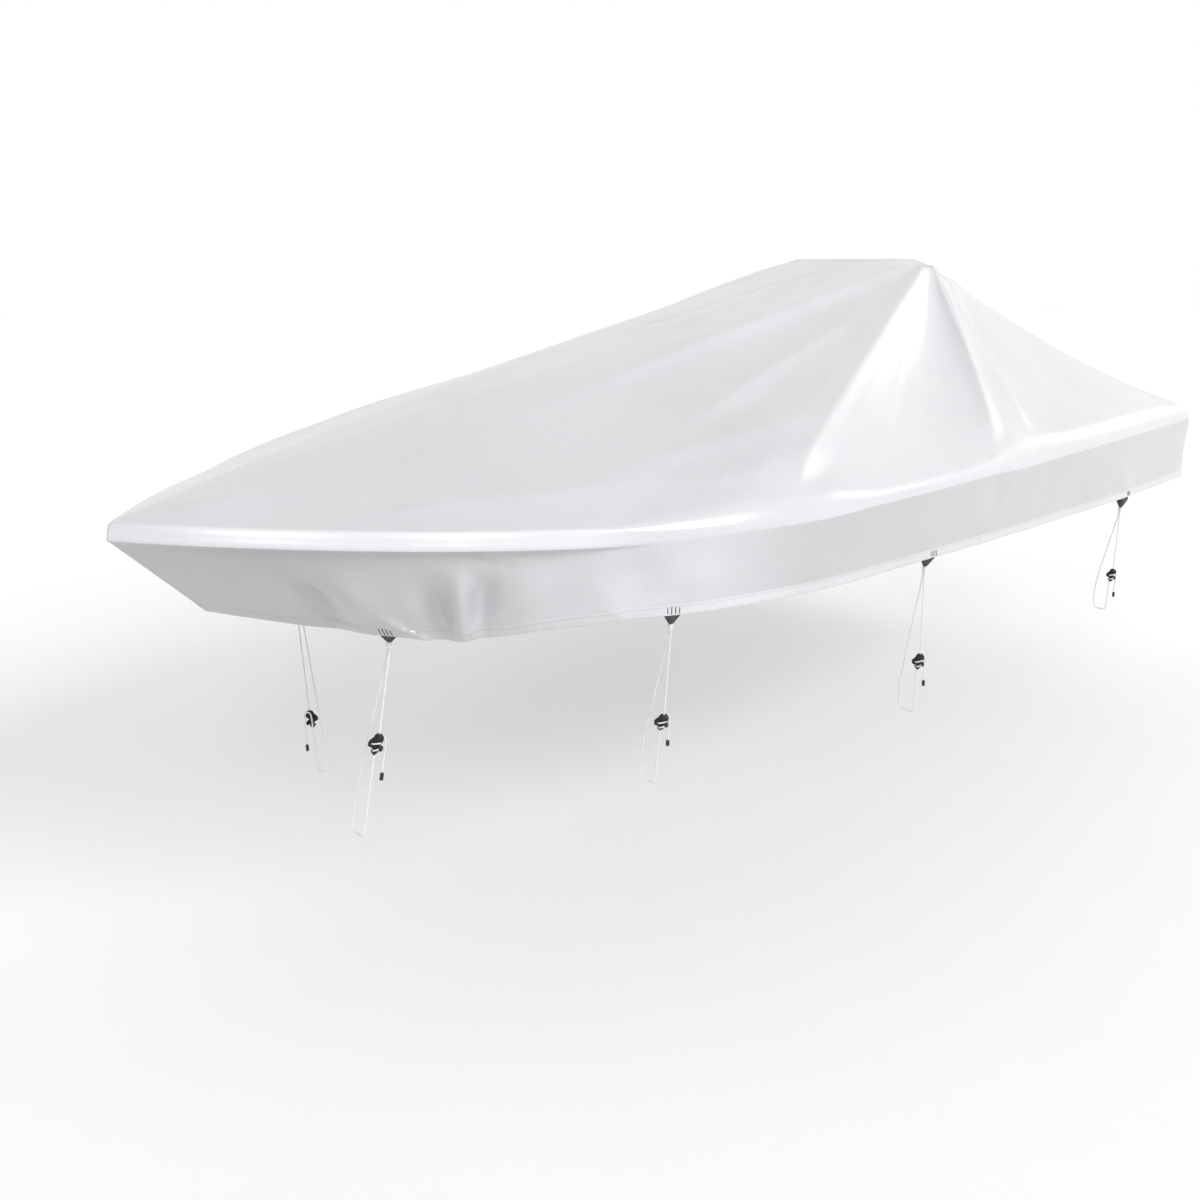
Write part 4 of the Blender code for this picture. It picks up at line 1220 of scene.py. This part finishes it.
def deck_point(columns, roll, share):
    """A point a share of the way up the roll, then a share of the way on to the peak."""
    _, x, aft, out_x, out_aft, end_x, end_aft = columns
    in_x, in_aft = end_x - x, end_aft - aft
    start = roll * skirt_sizes(aft)[0] / -(in_x * out_x + in_aft * out_aft)
    inward = start + (1 - start) * share
    x, aft = x + in_x * inward, aft + in_aft * inward
    return x, aft, deck_height(x, aft) + deck_detail(x, aft, share)


def add_sheet(material):
    """The whole cloth as one thin sheet, its hem turned in."""
    columns = sheet_columns()
    runs = columns[0]
    count = len(runs)
    grid = np.array([np.c_[row] for row in sheet_rows(columns)])
    grid[..., 1] -= PEAK_AFT
    grid[..., 2] += THICKNESS - PEAK_HEIGHT
    step = np.linalg.norm(np.diff(grid, axis=0), axis=2)
    rise = np.r_[np.zeros((1, count)), np.cumsum(step, axis=0)]

    # the hem's turned-in layer: its inner face, then its rounded edge
    out = hem_normals(grid)
    inner = [grid[row] - out * THICKNESS for row in HEM_TURNED_ROWS]
    edge = grid[0] - out * THICKNESS * 0.5
    edge[:, 2] -= THICKNESS * 0.35
    grid = np.concatenate([inner, edge[None], grid])
    rise = np.concatenate([rise[list(HEM_TURNED_ROWS)], np.zeros((1, count)), rise])
    turned = len(HEM_TURNED_ROWS) + 1
    points = grid.reshape(-1, 3)

    last = len(points) - count
    faces = []
    for low in range(0, last, count):
        for i in range(count):
            j = (i + 1) % count
            faces.append((low + i, low + j, low + count + j, low + count + i))
    top = sorted((x, y > 0, last + i) for i, (x, y, _) in enumerate(grid[-1]))
    fore, back = ([(x, i) for x, behind, i in top if behind == half] for half in (False, True))
    cover = mesh_object("cover_cloth_sheet", points, faces + zipped(fore, back), [material])

    # UVs in metres. drawn: distance along the rim and up the cloth, counted on past the end by
    # the faces between the last column and the first. cloth: the same, but the plan on the deck.
    mesh = cover.data
    index = loop_vertices(mesh)
    totals = np.zeros(len(mesh.polygons), dtype=np.int32)
    mesh.polygons.foreach_get("loop_total", totals)
    face_of = np.repeat(np.arange(len(totals)), totals)
    drawn = np.c_[np.tile(runs, len(grid)), rise.ravel()].astype(np.float32)[index]
    furthest = np.full(len(totals), -np.inf)
    np.maximum.at(furthest, face_of, drawn[:, 0])
    wraps = (furthest[face_of] > RIM_HALF * 0.6) & (drawn[:, 0] < -RIM_HALF * 0.4)
    drawn[:, 0] += np.where(wraps, 2 * RIM_HALF, 0)
    corners_on_deck = np.zeros(len(totals))
    first_deck_row = turned + len(SKIRT_ROWS) + ROLL_STEPS // 2
    np.add.at(corners_on_deck, face_of, index // count >= first_deck_row)
    on_deck = (corners_on_deck == totals)[face_of][:, None]
    add_uv(mesh, "cloth", np.where(on_deck, points[index, :2].astype(np.float32), drawn))
    add_uv(mesh, "drawn", drawn)
    # the tone attribute scales the cloth's colour with painted light and shade
    tone = mesh.attributes.new("tone", "FLOAT", "POINT")
    tone.data.foreach_set("value", sheet_painted_light(columns[2], turned).ravel())

    ride_for(cover, "cover")


def sheet_painted_light(aft, turned):
    """Painted light and shade in the cloth's colour at each point: a painted highlight on the bow
    band and the roll above it, painted shade on the whole skirt below, more at the bow and the
    stem, and a painted highlight on the aft hem.
    """
    # painted highlight: the bow band and the roll above it are lighter
    band = BAND_PAINTED_LIGHT * band_slant(aft)
    # painted shade: the skirt is darker, most at the bow and the stem
    painted_shade = 1 - BOW_PAINTED_SHADE * (1 - smooth(aft, 0.3, 1.0)) - STERN_PAINTED_SHADE * smooth(aft, 1.0, 1.5)
    painted_shade = painted_shade - STEM_PAINTED_SHADE * (1 - smooth(aft, 0.2, 0.4))
    # painted highlight: the aft hem is lighter
    hem = 1 + HEM_PAINTED_LIGHT * smooth(aft, 0.9, 1.4)
    tone = [np.ones(len(aft))] * turned
    for row in SKIRT_ROWS:
        tone.append(1 + band if row <= BAND_ROW else painted_shade * (hem if row > HEM_ROW + 0.005 else 1))
    # the band's painted highlight fades out over the first half of the roll
    for step in range(ROLL_STEPS + 1 + DECK_ROWS):
        tone.append(1 + band * max(0, 1 - 2 * step / ROLL_STEPS))
    return np.array(tone)


# painted highlight on the bow band
BAND_PAINTED_LIGHT = 0.16
# painted shade on the skirt: at the bow, at the stem and aft
BOW_PAINTED_SHADE = 0.26
STEM_PAINTED_SHADE = 0.06
STERN_PAINTED_SHADE = 0.20
# painted highlight on the aft hem
HEM_PAINTED_LIGHT = 0.20


def hem_normals(grid):
    """Unit vectors out of the hem, one a column."""
    along = np.roll(grid[0], -1, axis=0) - np.roll(grid[0], 1, axis=0)
    out = np.cross(along, grid[HEM_TURNED_ROWS[1]] - grid[0])
    return out / np.linalg.norm(out, axis=1)[:, None]


def zipped(first, second):
    """Triangles that close the strip between two lines of (position, vertex)."""
    faces = []
    i = j = 0
    while i < len(first) - 1 or j < len(second) - 1:
        if j == len(second) - 1 or i < len(first) - 1 and first[i + 1][0] < second[j + 1][0]:
            faces.append((first[i][1], first[i + 1][1], second[j][1]))
            i += 1
        else:
            faces.append((first[i][1], second[j + 1][1], second[j][1]))
            j += 1
    return faces


# start run, row; end run, row; height, width forward of it and aft of it, fades at its ends
SKIRT_CREASES = (
    (0.835, 0.19, 0.87, 0.31, -0.008, 0.01, 0.016, 0.25, 0.25),
    (0.87, 0.31, 0.925, 0.34, -0.006, 0.01, 0.014, 0.25, 0.25),
    (0.56, 0.82, 0.67, 1.02, 0.014, 0.024, 0.01, 0.3, 0.2),
    (0.37, 0.88, 0.455, 0.96, 0.004, 0.014, 0.006, 0.3, 0.3),
    (0.752, 0.97, 0.8, 0.3, 0.005, 0.012, 0.016, 0.15, 0.5),
    (0.76, 0.96, 0.96, 0.62, 0.006, 0.016, 0.022, 0.15, 0.5),
    (0.745, 0.97, 0.7, 0.6, -0.004, 0.014, 0.014, 0.15, 0.5),
    (1.12, 0.55, 1.2, 0.9, 0.004, 0.03, 0.02, 0.3, 0.3),
    (1.235, 0.97, 1.33, 0.8, 0.004, 0.008, 0.014, 0.2, 0.5),
    (1.21, 0.97, 1.13, 0.78, 0.004, 0.008, 0.014, 0.2, 0.5),
    (2.9, 0.2, 2.72, 0.75, 0.003, 0.014, 0.02, 0.3, 0.4),
    (3.28, 0.5, 3.14, 0.85, 0.002, 0.014, 0.02, 0.3, 0.4),
)

# start x, aft; end x, aft; height, width to port of it and on the other side, fades at its ends
DECK_CREASES = (
    (0.35, 3.06, 0.93, 1.33, 0.022, 0.05, 0.23, 0.04, 0.1),
    (0.46, 2.73, 0.95, 1.27, 0.01, 0.038, 0.16, 0.12, 0.1),
    (0.362, 3.024, 0.935, 1.315, 0.006, 0.013, 0.026, 0.04, 0.06),
    (0.366, 3.103, 0.935, 2.467, 0.004, 0.011, 0.022, 0.04, 0.05),
    (0.35, 3.03, 0.3, 1.45, 0.017, 0.024, 0.06, 0.08, 0.45),
    (0.11, 2.9, 0.11, 1.9, 0.011, 0.024, 0.05, 0.25, 0.4),
    (0.47, 2.4, 0.6, 1.35, 0.011, 0.028, 0.055, 0.3, 0.35),
    (0.79, 1.64, 0.65, 1.08, 0.01, 0.022, 0.045, 0.3, 0.4),
    (0.88, 1.36, 0.6, 0.88, 0.009, 0.018, 0.035, 0.3, 0.4),
    (0.01, 0.06, 0.19, 0.34, 0.013, 0.014, 0.034, 0.1, 0.4),
    (0.06, 0.14, 0.24, 0.56, 0.007, 0.012, 0.022, 0.2, 0.4),
    (0.38, 0.42, 0.7, 1.0, 0.017, 0.024, 0.05, 0.3, 0.35),
    (0.34, 0.47, 0.56, 0.84, -0.007, 0.02, 0.024, 0.3, 0.35),
    (0.35, 3.12, 0.95, 2.45, 0.021, 0.03, 0.13, 0.04, 0.06),
    (0.37, 3.18, 0.86, 2.78, 0.012, 0.024, 0.06, 0.1, 0.3),
    (0.37, 3.2, 0.64, 3.34, 0.01, 0.022, 0.05, 0.2, 0.3),
    (0.36, 3.13, 0.78, 4.25, 0.018, 0.032, 0.07, 0.08, 0.3),
    (0.36, 3.03, 0.76, 2.3, -0.008, 0.06, 0.06, 0.2, 0.4),
    (-0.35, 3.06, -0.93, 1.5, 0.008, 0.014, 0.045, 0.05, 0.12),
    (-0.35, 3.12, -0.95, 2.56, 0.007, 0.026, 0.014, 0.05, 0.12),
    (-0.35, 3.03, -0.33, 1.5, 0.009, 0.055, 0.03, 0.08, 0.45),
    (-0.37, 3.18, -0.83, 2.9, 0.008, 0.016, 0.03, 0.15, 0.3),
    (-0.36, 3.13, -0.7, 4.3, 0.009, 0.05, 0.03, 0.1, 0.3),
    (-0.56, 2.2, -0.7, 1.3, 0.006, 0.045, 0.045, 0.3, 0.35),
)

SKIRT_SCALE = 0.27  # metres down the skirt for one whole share
SKIRT_RUMPLE = 0.0022  # height of the cloth's unevenness
HEM_RUMPLE = 0.0009
DECK_RUMPLE = 0.0016


def small_folds(runs, row):
    """Creases and unevenness of the skirt at one row, port runs positive."""
    share = np.full(len(runs), row)
    down = SKIRT_SCALE
    table = [(u0, v0 * down, u1, v1 * down, *rest) for u0, v0, u1, v1, *rest in SKIRT_CREASES]
    total = line_folds(table, runs, share * down)
    x, aft = rim_point(runs)[:2]
    loose = 0.4 + 0.6 * smooth(share, 0.3, 1.0)
    total += SKIRT_RUMPLE * rumple(x * 6, aft * 6, share * 0.9) * loose
    hem = smooth(share, 0.86, 0.92)
    total += HEM_RUMPLE * rumple(x * 34, aft * 34, share * 3.0, 2) * hem
    return total * smooth(share, 0.0, 0.15)


def deck_detail(x, aft, share):
    """Creases and unevenness of the deck; they fade at the rim and at the peak."""
    total = line_folds(DECK_CREASES, x, aft)
    total += DECK_RUMPLE * rumple(x * 2.2, aft * 2.2, np.zeros(len(x))) * (1 - share)
    return total * smooth(rim_distance(x, aft), 0.02, 0.12) * (1 - smooth(share, 0.93, 1.0))


# name, direction it comes from, angle across in degrees, strength
LIGHTS = (
    ("beam", (0.84, 0.14, 0.47), 24, 1.70),
    ("bow", (0.35, -0.78, 0.50), 16, 0.32),
    ("front", (0.66, -0.48, 0.53), 14, 0.36),
    ("quarter", (0.12, 0.96, 0.23), 12, 0.055),
    ("flank", (0.42, 0.78, 0.42), 14, 0.11),
)

# Brightness of the sky: at the horizon and on the aft starboard side, forward to port, overhead
SKY_BACK = 1.0
SKY_FRONT = 0.35
SKY_TOP = 0.74
FLOOR_REACH = 40.0


def add_light(name, source, angle, strength):
    data = bpy.data.lights.new(name, "SUN")
    data.angle = math.radians(angle)
    data.energy = strength
    light = link(bpy.data.objects.new(name, data))
    light.location = Vector(source) * 8
    light.rotation_euler = (-Vector(source)).to_track_quat("-Z", "Y").to_euler()


def add_surroundings():
    """Soft suns, a sky graded by direction and the plain floor."""
    for light in LIGHTS:
        add_light(*light)
    nodes = Nodes(bpy.data.worlds.new("studio"), "Background")
    x, y, z = nodes.split(nodes.add("ShaderNodeTexCoord", output="Generated"))
    ring = nodes.ramp(nodes.math("SUBTRACT", y, x), -0.9, 0.7, SKY_FRONT, SKY_BACK)
    low = nodes.ramp(z, 0.03, 0.30, SKY_BACK, ring)
    strength = nodes.ramp(z, 0.40, 0.90, low, SKY_TOP)
    scene = bpy.context.scene
    scene.world = nodes.finish(Strength=strength, Color=(1.0, 1.0, 1.0, 1))
    scene.view_settings.view_transform = "Standard"
    corners = [(-1, -1), (1, -1), (1, 1), (-1, 1)]
    corners = [(x * FLOOR_REACH, y * FLOOR_REACH, FLOOR_HEIGHT) for x, y in corners]
    mesh_object("floor", corners, [(0, 1, 2, 3)], [floor_material()])


def main():
    add_camera()
    materials = rope_material(), webbing_material(), plastic_material(), thread_material()
    for tie in TIES:
        add_tie(tie, materials)
    add_sheet(cloth_material())
    add_surroundings()


main()
